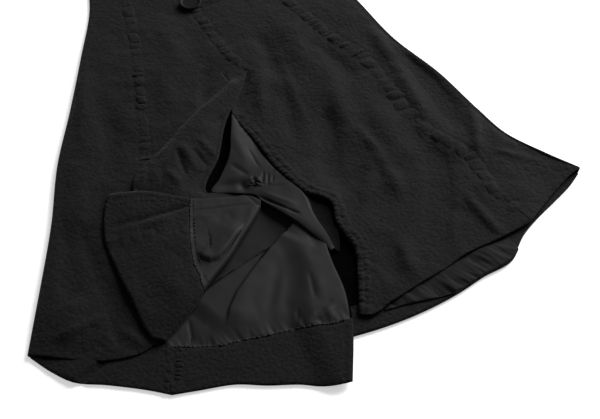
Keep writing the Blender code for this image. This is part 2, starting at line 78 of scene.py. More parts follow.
FOLD_ROOM, HEM_ROOM = 3.4, 1.0    # how deep the front's troughs go, and how deep at its hem
HEM_RISE, CORNER_DROOP = 0.3, 2.8   # of the front right gore over the lining, and of its outer corner
HEM_DROOP = 3.3              # of the front's left hem
FLAP_DROOP = 2.2             # of the turned corner's outer edge
PAD_SINK = 0.3               # of the pads into the cloth that they are on
CAMERA_DISTANCE, CAMERA_RISE, CAMERA_TURN = 2.1167, 50, -18.6     # metres and degrees
LAMP_PLACE, LAMP_SIZE, LAMP_WATTS = (2.4, 1.55, 1.8), 2.2, 212    # metres
WORLD_LIGHT, FLOOR_GLOW = 0.15, 0.50
FLOOR_HALF, FLOOR_Z = 4.0, -0.0004          # metres

# ---- seams and edges: way (0 at the waist seam, 1 at the hem), x, y ----
LEFT_FOLD = [
    (0, -152, 500), (0.1, -164, 440), (0.25, -199, 348), (0.4, -236, 256), (0.55, -275, 165),
    (0.7, -305, 71), (0.85, -340, -21), (1, -377, -114)]
RIGHT_FOLD = [
    (0, 152, 500), (0.1, 168, 445), (0.25, 197, 340), (0.4, 219, 248), (0.55, 254, 165),
    (0.7, 278, 85), (0.8, 297, 31), (0.9, 332, -17), (1, 364, -55)]
FRONT_SEAM_1 = [
    (0, -108, 500), (0.1, -112, 436), (0.25, -124, 338), (0.4, -143, 242), (0.55, -163, 145),
    (0.7, -184, 48), (0.85, -208, -50), (1, -236, -150)]
FRONT_SEAM_2 = [
    (0, -27, 500), (0.12, -27, 400), (0.19, -19, 352), (0.26, -12, 307), (0.32, -2, 271),
    (0.355, 9, 251)]
FRONT_SEAM_3 = [
    (0, 75, 500), (0.12, 92, 410), (0.24, 115, 333), (0.33, 136, 277), (0.43, 166, 223),
    (0.53, 178, 157), (0.66, 193, 79), (0.78, 234, 8), (0.87, 240, -45), (1, 265, -119)]
FRONT_RIGHT_SLIT = [
    (0.355, 9, 251), (0.38, -8, 233), (0.42, -23, 208), (0.48, -35, 173), (0.54, -22, 124),
    (0.62, -10, 67), (0.7, 11, 13), (0.76, 37, -15), (0.8, 33, -42), (0.86, 41, -87),
    (0.93, 30, -132), (1, 12, -186)]
BACK_SEAM_1 = [
    (0, -108, 500), (0.25, -130, 330), (0.5, -165, 155), (0.75, -200, -35), (1, -231, -220)]
BACK_SEAM_3 = [
    (0, 108, 500), (0.25, 132, 345), (0.5, 170, 180), (0.75, 203, 15), (1, 235, -150)]
BACK_LEFT_EDGE = [
    (0, -6, 500), (0.2, -4, 350), (0.355, 2, 245), (0.5, 14, 120), (0.65, 18, -10),
    (0.75, 11, -91), (0.86, 9, -160), (0.94, -6, -217), (1, -27, -273)]
BACK_RIGHT_EDGE = [
    (0, -7.5, 500), (0.2, -5.5, 350), (0.355, 0.5, 245), (0.5, -4, 120), (0.75, -9, -60),
    (1, -12, -209)]

# ---- hems: x, y ----
HEM_FRONT_LEFT_SIDE = [(-377, -114), (-326, -139), (-277, -155), (-246, -154), (-236, -150)]
HEM_BACK_LEFT_SIDE = [(-377, -114), (-354, -147), (-337, -165), (-298, -183), (-250, -208), (-231, -220)]
HEM_BACK_LEFT = [(-231, -220), (-199, -224), (-155, -230), (-121, -243), (-87, -253), (-42, -272),
                 (-27, -273)]
HEM_BACK_RIGHT = [(-12, -209), (33, -208), (79, -203), (143, -188), (176, -176), (224, -161), (235, -150)]
HEM_BACK_RIGHT_SIDE = [(235, -150), (247, -136), (278, -112), (310, -93), (341, -74), (364, -55)]
HEM_FRONT_RIGHT = [(12, -186), (25, -191), (54, -181), (100, -165), (142, -151), (170, -140), (228, -129),
                   (265, -119)]
HEM_FRONT_RIGHT_SIDE = [(265, -119), (319, -78), (352, -59), (364, -55)]

# ---- the front left corner, from the slit's top (way 0) to the hem (way 1) ----
PLEAT = [
    # way, crest x, crest y, depth, swell
    (0, -20, 236, 0, 0),
    (0.08, -30, 224, 0, 3),
    (0.19, -79, 194, 15, 5),
    (0.33, -136, 147, 32, 6),
    (0.48, -190, 100, 46, 5),
    (0.6, -198, 42, 30, 0),
    (0.8, -208, -55, 20, 0),
    (0.92, -220, -115, 9, 0),
    (1, -231, -148, 0, 0)]
FAR_SIDE = [
    # way, x, y: where the top layer ends, at the roll beside the slit, then at the turned fold
    (0, 9, 251), (0.08, -11, 217), (0.19, -44, 173), (0.33, -72, 115), (0.48, -104, 54),
    (0.54, -80, 38), (0.6, -47, 27), (0.72, -98, -42), (0.84, -142, -82), (0.92, -179, -115),
    (1, -221, -147)]
TURN_STARTS = 0.6            # way from which the corner is turned over
TURNED_SLIT_EDGE = [(-47, 27), (-60, 31), (-130, 48), (-176, 74), (-225, 90)]
TURNED_HEM_EDGE = [(-223, -149), (-230, -146), (-237, -128), (-240, -98), (-247, -33), (-249, 17), (-239, 60),
                   (-225, 90)]
FACING_SEAM = [
    # share from the turned fold to the outer edge, way at which the lining meets the facing
    (0, 0.876), (0.05, 0.874), (0.19, 0.85), (0.3, 0.85), (0.48, 0.832), (0.74, 0.8), (1, 0.779)]
TURNED_LINING_TOP = 0.635    # way at which the turned corner's lining starts, under the pleat
# on the turned corner: the facing's puckers, the slit edge's stitching, the lining's gathers, the tuck's edge
FLAP_SEAM = [(-246, 13), (-216, 7), (-184, 4), (-150, -3)]
FLAP_EDGE = [(-225, 90), (-176, 74), (-130, 48), (-55, 28)]
FLAP_GATHERS = [(-130, 47), (-155, -43), (-156, -95)]
TUCK_ON_LINING = [(-148, -36), (-143, -50), (-135, -57), (-123, -56), (-110, -47), (-92, -30), (-74, -14)]

# ---- depth of the hem facings, and of the wool below the back right lining: share of the hem, depth ----
FACING_BACK_SIDE = [(0, 44), (0.5, 60), (1, 66)]
FACING_BACK = [(0, 66), (0.3, 52), (0.6, 64), (1, 73)]
WOOL_BELOW_LINING = [(0, 20), (0.12, 17), (0.26, 9), (0.38, 2), (0.46, -2.4), (1, -2.4)]
SLIT_MARGIN = 3            # of bare wool between the back left lining and the lapped edge
# back left lining: edge of its upper layer, a second edge, and where it is gathered to the facing
LAPPED_EDGE = [(10, -12), (-12, -23), (-60, -55), (-95, -67), (-127, -79), (-155, -93), (-185, -110)]
SECOND_EDGE = [(-30, -34), (-60, -57), (-90, -82), (-117, -107), (-132, -127), (-144, -150)]
BACK_LEFT_SEAM = [(-240, -150), (-208, -158), (-165, -178), (-128, -176), (-93, -183), (-3, -197)]
GAP_WIDTH = 2.8              # width of the strip painted in shade along the open edge between two layers of the back left lining
# lines along which those strips of painted shade run
LINING_GAPS = [
    [(-56, -50), (-72, -56), (-95, -65), (-127, -77), (-155, -91), (-180, -105)],
    [(-22, -31), (-40, -41), (-60, -57), (-76, -70)]]
LINING_STARTS = 0.605        # way at which the back left lining starts, out of sight
RIGHT_LINING_STARTS = 0.84   # and the back right one
# seam between the facings behind, as each of them puckers and as its pads lie; ledge of the side one
SIDE_FACING_SEAM = [(-208, -150), (-231, -220)]
BACK_FACING_SEAM = [(-213, -150), (-233, -222)]
LEFT_PADS, RIGHT_PADS = [(-214, -154), (-235, -217)], [(-204, -158), (-223, -219)]
SIDE_FACING_LEDGE = [(-341, -176), (-318, -158), (-299, -146), (-280, -120)]

# ---- strip of lining at the slit: left edge, crest and the edge hidden under the front right gore ----
SLIT_LINING = [
    # way, then x, y, z of each
    (0, -36, 177, 10, -34, 176, 9.4, -32, 175, 5),
    (0.08, -42, 158, 11.4, -30, 153, 8.8, -27, 151, 4),
    (0.16, -49, 139, 11.8, -26, 134, 8.6, -22, 132, 4),
    (0.25, -57, 115, 11.6, -21, 108, 8.4, -17, 106, 4),
    (0.33, -68, 96, 9.6, -18, 91, 8.8, -13, 88, 4.5),
    (0.38, -84, 76, 6.8, -15, 77, 9.6, -9, 74, 5),
    (0.44, -99, 60, 4.9, -11, 63, 10.8, -3, 58, 6.5),
    (0.49, -78, 50, 6.6, -6, 48, 12.8, 6, 42, 8),
    (0.55, -51, 34, 10.8, 2, 28, 15.4, 20, 20, 9),
    (0.61, -44, 19, 12.8, 8, 12, 16.4, 32, 2, 9),
    (0.67, -36, 5, 14.8, 8, -3, 17.2, 38, -14, 9),
    (0.74, -25, -12, 16.4, 7, -17, 17.8, 37, -30, 9),
    (0.81, -15, -29, 17.6, 9, -34, 17.8, 34, -46, 8.5),
    (0.88, -5, -48, 16.4, 13, -51, 16.8, 31, -62, 8),
    (0.94, 4, -65, 14, 16, -69, 14.4, 27, -76, 7),
    (1, 13, -84, 10.5, 18, -81, 10.5, 23, -86, 6)]

# ---- folds: both ends, half width, height ----
FRONT_FOLDS = [
    (114, 102, 124, 52, 9, 1.3), (122, 62, 129, -26, 12, 1.8),         # creased ridge of the right gore
    (84, 140, 52, 30, 18, -3), (64, 14, 54, -44, 15, -2.2), (84, -12, 116, 46, 15, 1.8),
    (150, 140, 150, 40, 22, 1.8), (180, 74, 190, 0, 20, -1.4),
    (200, 32, 168, -68, 20, -3.2), (190, -62, 236, -36, 20, 1.2), (205, -56, 222, -126, 8, 1.8),
    (178, 0, 136, -100, 14, -2), (207, -8, 163, -112, 12, 1.2),
    (101, -94, 95, -154, 15, 2), (80, -84, 72, -142, 14, -2), (154, -112, 136, -150, 14, -2),
    (109, 204, 100, 78, 22, 2.6), (45, 306, 44, 230, 18, -2), (57, 262, 53, 126, 8, 0.8),
    (5, 244, -27, 182, 12, -2.6), (25, 238, 1, 166, 13, 2), (42, 200, 28, 104, 15, -1.4),
    (82, 330, 90, 240, 24, 1.8), (120, 260, 140, 190, 16, -1.4),
    (196, 270, 203, 180, 14, 2.2), (203, 190, 207, 90, 14, 2.2), (226, 206, 242, 60, 22, -3.4),
    (270, 84, 244, -2, 11, 2), (268, 6, 318, -28, 7, 1),
    (-274, 60, -272, -40, 15, -1.5), (-271, -40, -258, -116, 14, -1.5),  # beside the turned corner
    (-271, -86, -272, -140, 6, -1.2), (-342, -107, -278, -92, 9, 1.4), (-262, -112, -244, -147, 10, 1.4),
    (-70, 390, -84, 260, 26, 1.8), (-44, 266, -66, 208, 12, -2), (-100, 300, -110, 210, 22, 1.6),
    (-162, 63, -176, -20, 12, -1.6), (-210, 330, -232, 200, 20, 2), (-190, 250, -215, 120, 20, -1.8),
    (-250, 150, -280, 40, 24, 1.8), (-290, 60, -310, -60, 20, -1.6), (-300, -60, -330, -110, 18, 1.6)]
PLEAT_FOLDS = [
    (-69, 162, -44, 178, 5, -3), (-60, 172, -86, 150, 7, 1.6),
    (-116, 134, -109, 94, 7, 2.8), (-93, 140, -78, 114, 7, 2.6), (-144, 96, -136, 72, 7, 2.4),
    (-124, 131, -125, 86, 5, -3), (-104, 124, -92, 98, 4, -2.6), (-138, 67, -99, 95, 4, -1.8),
    (-99, 95, -79, 115, 4, -2), (-102, 85, -74, 94, 5, -2), (-164, 124, -176, 82, 4, -1.2),
    (-128, 150, -146, 126, 7, 1.6), (-150, 112, -156, 84, 6, -1.4)]
FLAP_FOLDS = [
    (-232, 34, -190, 33, 6, -2.2), (-200, 32, -132, 37, 6, -2.8), (-205, 60, -225, 20, 14, 1.2),
    (-195, 22, -165, 24, 7, 1.6), (-240, -60, -225, -120, 14, 1.2), (-200, -60, -180, -100, 16, 1.2),
    (-180, -20, -160, -60, 12, -1)]
TURNED_LINING_FOLDS = [(-140, 27, -58, 14, 3, -0.9), (-146, 20, -110, 10, 5, 0.5)]
SIDE_FACING_FOLDS = [(-333, -176, -290, -150, 5, -2.4)]
BACK_LINING_FOLDS = [
    (-53, -80, -86, -143, 10, -1.1), (-24, -108, -30, -146, 4, -1), (-16, -112, -22, -150, 8, 0.6),
    (-54, -154, -61, -170, 2.6, -1), (-38, -176, -13, -166, 4, 1), (-36, -168, -12, -156, 4, -0.8),
    (-211, -141, -178, -96, 4, -1.6), (-183, -125, -188, -160, 3, -1.4), (-100, -100, -130, -150, 12, 0.7),
    (-1, -44, -4, -72, 9, -1.2), (-60, -100, -78, -150, 12, 0.9), (-55, -50, -97, -65, 3, -1.6),
    (-92, -64, -160, -93, 3.5, -1.8)]
RIGHT_LINING_FOLDS = [(156, -140, 180, -132, 7, -2.4), (180, -133, 232, -126, 6, -2)]
SLIT_LINING_FOLDS = [
    (-27, 68, -34, 44, 1.2, -2), (-22, 63, -30, 40, 1.4, -2.2), (-17, 57, -23, 43, 1.2, -1.6),  # knot
    (-31, 62, -36, 46, 1.2, -1.6), (-52, 58, -36, 62, 1.2, -2.2), (-50, 46, -38, 60, 1.2, -2.2),
    (-54, 52, -40, 44, 1.2, -2), (-40, 66, -46, 44, 1.2, -1.8),
    (-46, 28, -18, -9, 2.6, -2.6), (-18, -9, -8, -20, 3, -1.6), (-40, 32, -8, -4, 5, 1),
    (-45, 140, -42, 84, 9, 0.9), (-30, 76, -34, 112, 3, -0.8), (-62, 92, -48, 70, 5, -1.2),
    (-30, 44, -2, 36, 5, 1)]
KNOT = (-42, 53, 10)         # middle and radius
# rows of stitched puffs beside the front right gore's slit edge
EDGE_ROWS = [
    # start, seed of their wander, step, seed, distance from the edge, half width, rise
    (0, 31, 6.5, 32, 4, 3.2, 2.3),
    (3, 37, 7.5, 35, 11.5, 3.4, 1.8)]


# ---- curves ----
def curve(table):
    """A smooth curve through a table's rows, as a function of the table's first column."""
    rows = np.array(table, dtype=float)
    ways, values = rows[:, 0], rows[:, 1:]
    slopes = np.gradient(values, ways, axis=0)

    def at(way):
        way = np.clip(np.asarray(way, dtype=float), ways[0], ways[-1])
        index = np.clip(np.searchsorted(ways, way, side="right") - 1, 0, len(ways) - 2)
        span = (ways[index + 1] - ways[index])[..., None]
        u = (way - ways[index])[..., None] / span
        start, end = values[index], values[index + 1]
        run = (end - start) / span
        bend = u * (1 - u) * span * ((1 - u) * (slopes[index] - run) - u * (slopes[index + 1] - run))
        return start + (end - start) * u + bend
    return at


def lengths(points):
    """Length passed at each point of a line."""
    steps = np.linalg.norm(np.diff(points, axis=0), axis=1)
    return np.concatenate([[0], np.cumsum(steps)])


def outline(points):
    """A smooth curve through points, as a function of the share of its length."""
    passed = lengths(np.array(points, dtype=float))
    return curve(np.column_stack([passed / passed[-1], points]))


def straight(table, share):
    """The second column of a table, on straight lines between its rows."""
    return np.interp(share, *np.transpose(table))


def ease(value):
    value = np.clip(value, 0.0, 1.0)
    return value * value * (3 - 2 * value)


def ramp(value, start, run):
    """Smoothly from 0 to 1 while a value runs on from a start."""
    return ease((value - start) / run)


def bell(value, width, power=2):
    """Smoothly from 1 at value 0 down to 0 well outside a half width."""
    return np.exp(-(value / width) ** power)


def spaced(length, step, rim):
    """Shares from 0 to 1 about a step apart, with more of them within a rim of both ends."""
    inner = np.linspace(rim, length - rim, max(int(length / step), 2))
    ends = rim * np.array([0, 0.12, 0.4])
    return np.concatenate([ends, inner, length - ends[::-1]]) / length


def front_height(way):
    return FRONT_Z_WAIST + (FRONT_Z_HEM - FRONT_Z_WAIST) * ease(way / 0.4)


def bulge(points, share):
    """How far an outline is, at shares of its length, from the straight line between its ends."""
    edge = outline(points)
    return edge(share) - (edge(0.0) + (edge(1.0) - edge(0.0)) * share[..., None])


def between(left, right, hem, way, share):
    """Points of a gore between two seams, drawn to its hem's own line near the hem."""
    way, share = np.broadcast_arrays(way, share)
    start, end = curve(left)(way), curve(right)(way)
    return start + (end - start) * share[..., None] + bulge(hem, share) * way[..., None] ** 3


def seam_line(table, start=0.0, end=1.0, count=24):
    return curve(table)(np.linspace(start, end, count))


# ---- relief ----
def noise(x, y, size, seed):
    """Smooth unevenness from -1 to 1 with features about one size wide."""
    table = np.random.default_rng(seed).uniform(-1, 1, (128, 128))
    turn = 0.6 + seed
    u = (x * math.cos(turn) - y * math.sin(turn)) / size + 1000
    v = (x * math.sin(turn) + y * math.cos(turn)) / size + 1000
    i, j = np.floor(u).astype(int), np.floor(v).astype(int)
    s, t = ease(u - i), ease(v - j)
    low = table[i % 128, j % 128] * (1 - s) + table[(i + 1) % 128, j % 128] * s
    high = table[i % 128, (j + 1) % 128] * (1 - s) + table[(i + 1) % 128, (j + 1) % 128] * s
    return low * (1 - t) + high * t


def uneven(x, y, *layers):
    """Sum of layers of noise, each with a height, the size of its features and a seed."""
    return sum(height * noise(x, y, size, seed) for height, size, seed in layers)


def along_line(x, y, line):
    """Length along a line to the nearest point, distance from it, positive on its left, and whole length."""
    best, length, side, passed = np.full(np.shape(x), np.inf), 0.0, 0.0, 0.0
    for (x0, y0), (x1, y1) in zip(line[:-1], line[1:]):
        run = math.hypot(x1 - x0, y1 - y0)
        ux, uy = (x1 - x0) / run, (y1 - y0) / run
        s = np.clip((x - x0) * ux + (y - y0) * uy, 0, run)
        dx, dy = x - x0 - ux * s, y - y0 - uy * s
        off = np.hypot(dx, dy)
        nearer = off < best
        best = np.where(nearer, off, best)
        length = np.where(nearer, passed + s, length)
        side = np.where(nearer, np.where(ux * dy - uy * dx >= 0, off, -off), side)
        passed += run
    return length, side, passed


def folds(x, y, table):
    """Soft ridges and troughs, tapered at both ends."""
    height = np.zeros(np.shape(x))
    for x0, y0, x1, y1, half_width, rise in table:
        _, off, run = along_line(x, y, [(x0, y0), (x1, y1)])
        past = np.hypot(x - (x0 + x1) / 2, y - (y0 + y1) / 2)
        taper = bell(past, 0.42 * run + half_width * 0.5, 4)
        height += rise * np.exp(-(off / half_width) ** 2 * 1.8) * taper
    return height


def ledge(x, y, line, rise, drop, reach):
    """Step along a line: steep on it, high on its left, and sinking again within its reach."""
    s, off, run = along_line(x, y, line)
    taper = ease(s / 14) * ease((run - s) / 24)
    return rise * ease(off / drop + 0.5) * bell(np.clip(off, 0, None), reach) * taper


def chain(s, step, seed, sharp=2.0):
    """Pillows of uneven length and height along a seam: 0 at the pinches, up to 1 between them."""
    rng = np.random.default_rng(seed)
    marks = np.cumsum(rng.uniform(0.5, 1.5, int(1200 / step))) * step - 2 * step
    heights = rng.uniform(0.35, 1.0, len(marks))
    index = np.clip(np.searchsorted(marks, s) - 1, 0, len(marks) - 2)
    u = (s - marks[index]) / (marks[index + 1] - marks[index])
    return heights[index] * (1 - np.abs(2 * u - 1) ** sharp)


def puckers(x, y, line, width, step, rise, seed, sharp):
    """A puckered seam: a row of pads as wide as its turned-in edges, pinched by the stitching."""
    s, off, _ = along_line(x, y, line)
    wander = 1.2 * noise(x, y, 9, seed + 50)
    body = bell(np.abs(off) + wander, width, 6)
    return rise * (chain(s + wander, step, seed, sharp) - 0.35) * body


def pulled(x, y, line, width, seed):
    """Cloth beside a seam: a channel along each side of its pads, and short creases across it."""
    s, off, _ = along_line(x, y, line)
    channel = -0.3 * bell(np.abs(off) - width, 2.6)
    creases = 0.8 * noise(s, 0.2 * off, 11, seed) * bell(off, 2.4 * width)
    return channel + creases


def wool_relief(x, y):
    """Unevenness that all of the front's wool has."""
    return uneven(x, y, (1.9, 85, 1), (1.1, 34, 2), (0.5, 13, 3), (0.20, 6, 4))


def front_relief(x, y, way):
    """All that shows on the front: unevenness, pulled seams and folds; troughs keep to the room below."""
    height = wool_relief(x, y) + FOLD_RISE * folds(x, y, FRONT_FOLDS)
    for seam, width, seed in (FRONT_SEAM_1, 8.5, 11), (FRONT_SEAM_2, 8.5, 12), (FRONT_SEAM_3, 9.5, 13):
        height += pulled(x, y, seam_line(seam), width, seed)
    room = FOLD_ROOM - (FOLD_ROOM - HEM_ROOM) * ramp(way, 0.76, 0.08)
    height = np.maximum(height, -room + 0.3 * (height + room))
    return height * (1 - ramp(y, SHOWN_BELOW - 15, 60) * 0.85)


# ---- materials ----
def give(node, values):
    """The node, with these values in its inputs."""
    for key, value in values.items():
        node.inputs[key].default_value = value
    return node


def new_material(name, values):
    """A material whose shader has these values; returns it and its node tree."""
    made = bpy.data.materials.new(name)
    made.use_nodes = True
    give(made.node_tree.nodes["Principled BSDF"], values)
    return made, made.node_tree


def cloth_noise(tree, scale, detail, stretch=(1.0, 1.0, 1.0)):
    place = tree.nodes.new("ShaderNodeTexCoord")
    mapping = give(tree.nodes.new("ShaderNodeMapping"), {"Scale": stretch})
    tree.links.new(place.outputs["Object"], mapping.inputs["Vector"])
    texture = give(tree.nodes.new("ShaderNodeTexNoise"), {"Scale": scale, "Detail": detail})
    tree.links.new(mapping.outputs["Vector"], texture.inputs["Vector"])
    return texture.outputs["Fac"]


def bumps(tree, *layers):
    """Layers of bump, each on the one before: strength, distance, then what its noise is made of."""
    before = None
    for strength, distance, *texture in layers:
        made = give(tree.nodes.new("ShaderNodeBump"), {"Strength": strength, "Distance": distance})
        tree.links.new(cloth_noise(tree, *texture), made.inputs["Height"])
        if before:
            tree.links.new(before.outputs["Normal"], made.inputs["Normal"])
        before = made
    tree.links.new(before.outputs["Normal"], tree.nodes["Principled BSDF"].inputs["Normal"])


def wool_material(name, dark, light, shine=0.12):
    """Felted wool: matt, mottled, slightly hairy."""
    made, tree = new_material(name, {"Roughness": 0.85, "Specular IOR Level": shine,
                                     "Sheen Weight": shine * 0.4, "Sheen Roughness": 0.5})
    ramp = tree.nodes.new("ShaderNodeValToRGB")
    for stop, place, colour in zip(ramp.color_ramp.elements, (0.35, 0.68), (dark, light)):
        stop.position, stop.color = place, (*colour, 1)
    tree.links.new(cloth_noise(tree, 260, 6), ramp.inputs["Fac"])
    tree.links.new(ramp.outputs["Color"], tree.nodes["Principled BSDF"].inputs["Base Color"])
    bumps(tree, (0.75, 0.0022, 200, 7), (0.5, 0.0004, 700, 3))
    return made


def satin_material(name, colour, roughness, shine=0.11):
    """Lining: a fine twill that shines softly, with small creases."""
    made, tree = new_material(name, {"Base Color": (*colour, 1), "Specular IOR Level": shine})
    spread = give(tree.nodes.new("ShaderNodeMapRange"),
                  {"To Min": roughness - 0.06, "To Max": roughness + 0.10})
    tree.links.new(cloth_noise(tree, 60, 3), spread.inputs["Value"])
    tree.links.new(spread.outputs["Result"], tree.nodes["Principled BSDF"].inputs["Roughness"])
    bumps(tree, (0.16, 0.002, 45, 2), (0.15, 0.0002, 1500, 2, (1.0, 0.3, 1.0)))
    return made


def button_material():
    made, tree = new_material("button_horn", {"Base Color": (0.004, 0.004, 0.004, 1),
                                              "Specular IOR Level": 0.07, "Roughness": 0.55})
    bumps(tree, (0.1, 0.0005, 300, 2))
    return made


wool = wool_material("wool_black", (0.0006, 0.0005, 0.0006), (0.0052, 0.0048, 0.0052))
# painted shade: near-black wool with almost no shine, for wool that shows only in deep shadow in the slit and
# in the lining's gaps
wool_painted_shade = wool_material("wool_painted_shade", (0.0001, 0.0001, 0.0001), (0.0007, 0.0006, 0.0007), 0.01)
satin = satin_material("satin_black", (0.0122, 0.0115, 0.0120), 0.62)
# painted shade: near-black satin for lining that lies in the shadow under the front right gore's edge
satin_painted_dark_shade = satin_material("satin_painted_dark_shade", (0.0012, 0.0011, 0.0012), 0.66, 0.02)
# painted shade: a darker satin for the back left lining's upper layer, which lies in the shade of its
# overhang
satin_painted_half_shade = satin_material("satin_painted_half_shade", (0.0094, 0.0088, 0.0092), 0.66, 0.09)
# painted shade: a darker satin for the back right lining, which lies in the shade of the front right hem
satin_shaded = satin_material("satin_shaded", (0.0062, 0.0058, 0.0062), 0.70, 0.08)
horn = button_material()


# ---- meshes ----
def normals(grid):
    normal = np.cross(np.gradient(grid, axis=0), np.gradient(grid, axis=1))
    return normal / np.maximum(np.linalg.norm(normal, axis=2, keepdims=True), 0.05)


def raised(plan, height):
    """Grid of points over a plan, at heights for all or for each."""
    return np.dstack([plan, np.broadcast_to(height, plan.shape[:2])])


def lifted(grid, distance):
    return grid + normals(grid) * np.broadcast_to(distance, grid.shape[:2])[..., None]


def resampled(grid, ways, wanted):
    """Rows of a grid moved to wanted ways, which differ from column to column."""
    out = np.empty((*wanted.shape, 3))
    for column, axis in np.ndindex(out.shape[1:]):
        out[:, column, axis] = np.interp(wanted[:, column], ways, grid[:, column, axis])
    return out


def edge_distances(grid):
    """Distance of each point from the grid's first and last columns, and first and last rows."""
    distances = []
    for axis in (1, 0):
        steps = np.linalg.norm(np.diff(grid, axis=axis), axis=2)
        passed = np.cumsum(np.insert(steps, 0, 0, axis=axis), axis=axis)
        distances += [passed, passed.take([-1], axis=axis) - passed]
    return distances


def quads(index):
    """Faces of a grid of point numbers."""
    return np.stack([index[:-1, :-1], index[1:, :-1], index[1:, 1:], index[:-1, 1:]], axis=-1).reshape(-1, 4)


def piece(name, places, faces, finish):
    mesh = bpy.data.meshes.new(name)
    mesh.from_pydata((np.asarray(places) * MM).tolist(), [], faces)
    mesh.materials.append(finish)
    mesh.shade_smooth()
    obj = bpy.data.objects.new(name, mesh)
    bpy.context.scene.collection.objects.link(obj)
    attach(obj, "root")
    return obj


def closed_cloth(name, node, grid, rims, wall=WOOL, finish=wool):
    """Sheet in a node's place: two faces from a grid of middle points, rounded off within each edge's rim."""
    half = np.full(grid.shape[:2], wall / 2)
    for distance, rim in zip(edge_distances(grid), rims):
        half = half * np.sqrt(1 - (1 - np.clip(distance / rim, 0, 1)) ** 2)
    up = normals(grid) * half[..., None]
    index = np.arange(half.size).reshape(half.shape)
    under, inner = index.copy(), (slice(1, -1), slice(1, -1))
    under[inner] = half.size + np.arange(under[inner].size).reshape(under[inner].shape)
    places = np.concatenate([(grid + up).reshape(-1, 3), (grid - up)[inner].reshape(-1, 3)])
    faces = np.concatenate([quads(index), quads(under)[:, [0, 3, 2, 1]]])
    made = piece(name, places, faces.tolist(), finish)
    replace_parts(made, node)
    return made


def satin_cloth(name, node, grid, finish=satin, rim=SATIN):
    return closed_cloth(name, node, grid, (rim,) * 4, SATIN, finish)


def face_middles(made):
    """Two rows: the x and the y of each face's middle."""
    middles = np.empty(3 * len(made.data.polygons))
    made.data.polygons.foreach_get("center", middles)
    return middles.reshape(-1, 3).T[:2] / MM


def give_finishes(made, numbers, *finishes):
    """Further finishes for the faces: number 0 keeps the piece's own, 1 is the first of these."""
    for finish in finishes:
        made.data.materials.append(finish)
    made.data.polygons.foreach_set("material_index", numbers.astype(np.int32))


# ---- pads along the seams ----
PAD_SHARES = np.array([-1, -0.94, -0.82, -0.5, 0, 0.5, 0.82, 0.94, 1])


def pads(name, line, width, step, rise, seed, surface, power=6, gaps=0.1, finish=wool):
    """Row of pads along a line of points, each pinched off from the next by the stitching."""
    line = np.array(line, dtype=float)
    passed = lengths(line)
    rng = np.random.default_rng(seed)
    places, faces, start = [], [], 0.0
    v, u = np.meshgrid(PAD_SHARES, PAD_SHARES)
    corners = quads(np.arange(u.size).reshape(u.shape))
    while start < passed[-1] - step / 3:
        length = step * rng.uniform(0.45, 1.6)
        s = np.clip(start + length * (0.5 + 0.48 * u), 0, passed[-1])
        lean = rng.uniform(-0.18, 0.18)
        side = width / 2 * rng.uniform(0.75, 1.15) * v * (1 - 0.14 * u ** 2)
        side = side + width * (rng.uniform(-0.08, 0.08) + lean * u)
        here, before, after = (np.array([np.interp(place, passed, line[:, i]) for i in (0, 1)])
                               for place in (s, start + length / 2 - 2, start + length / 2 + 2))
        ahead = (after - before) / np.linalg.norm(after - before)
        x, y = here[0] - ahead[1] * side, here[1] + ahead[0] * side
        puff = ((1 - np.abs(u) ** power) * (1 - np.abs(v) ** power)) ** 0.8 * rise * rng.uniform(0.35, 1.0)
        z = surface(x, y, s / passed[-1]) - PAD_SINK + puff * (1 + 0.4 * noise(x, y, 5, seed + 1))
        faces.append(corners + len(places) * u.size)
        places.append(np.dstack([x, y, z]).reshape(-1, 3))
        start += length + (rng.uniform() < gaps) * step * 0.6
    return piece(name, np.concatenate(places), np.concatenate(faces).tolist(), finish)


def stitches(name, row, width, step, rise, seed, gaps=0.15, finish=satin):
    """Small pads along a row of points in space."""
    passed = lengths(row[:, :2])

    def surface(x, y, share):
        return np.interp(share, passed / passed[-1], row[:, 2])
    pads(name, row[:, :2], width, step, rise, seed, surface, 4, gaps, finish)


def seam_pads(name, table, start, end, width, step, rise, seed, right=0, power=6, gaps=0.1):
    """Pads on a front seam, from one way to another; right is 1 where the front lies over the lining."""
    def surface(x, y, share):
        way = start + (end - start) * share
        return front_height(way) + right * hem_rise(way) + front_relief(x, y, way) + WOOL / 2
    pads(name, seam_line(table, start, end, 60), width, step, rise, seed, surface, power, gaps)


# ---- side gores and front right gore ----
def hem_rise(way):
    return HEM_RISE * ramp(way, 0.6, 0.3)


def hem_droop(way):
    return HEM_DROOP * ramp(way, 0.9, 0.1)


def corner_droop(way, x):
    return CORNER_DROOP * ramp(x, 265, 50) * ramp(way, 0.75, 0.25) * ease((364 - x) / 40)


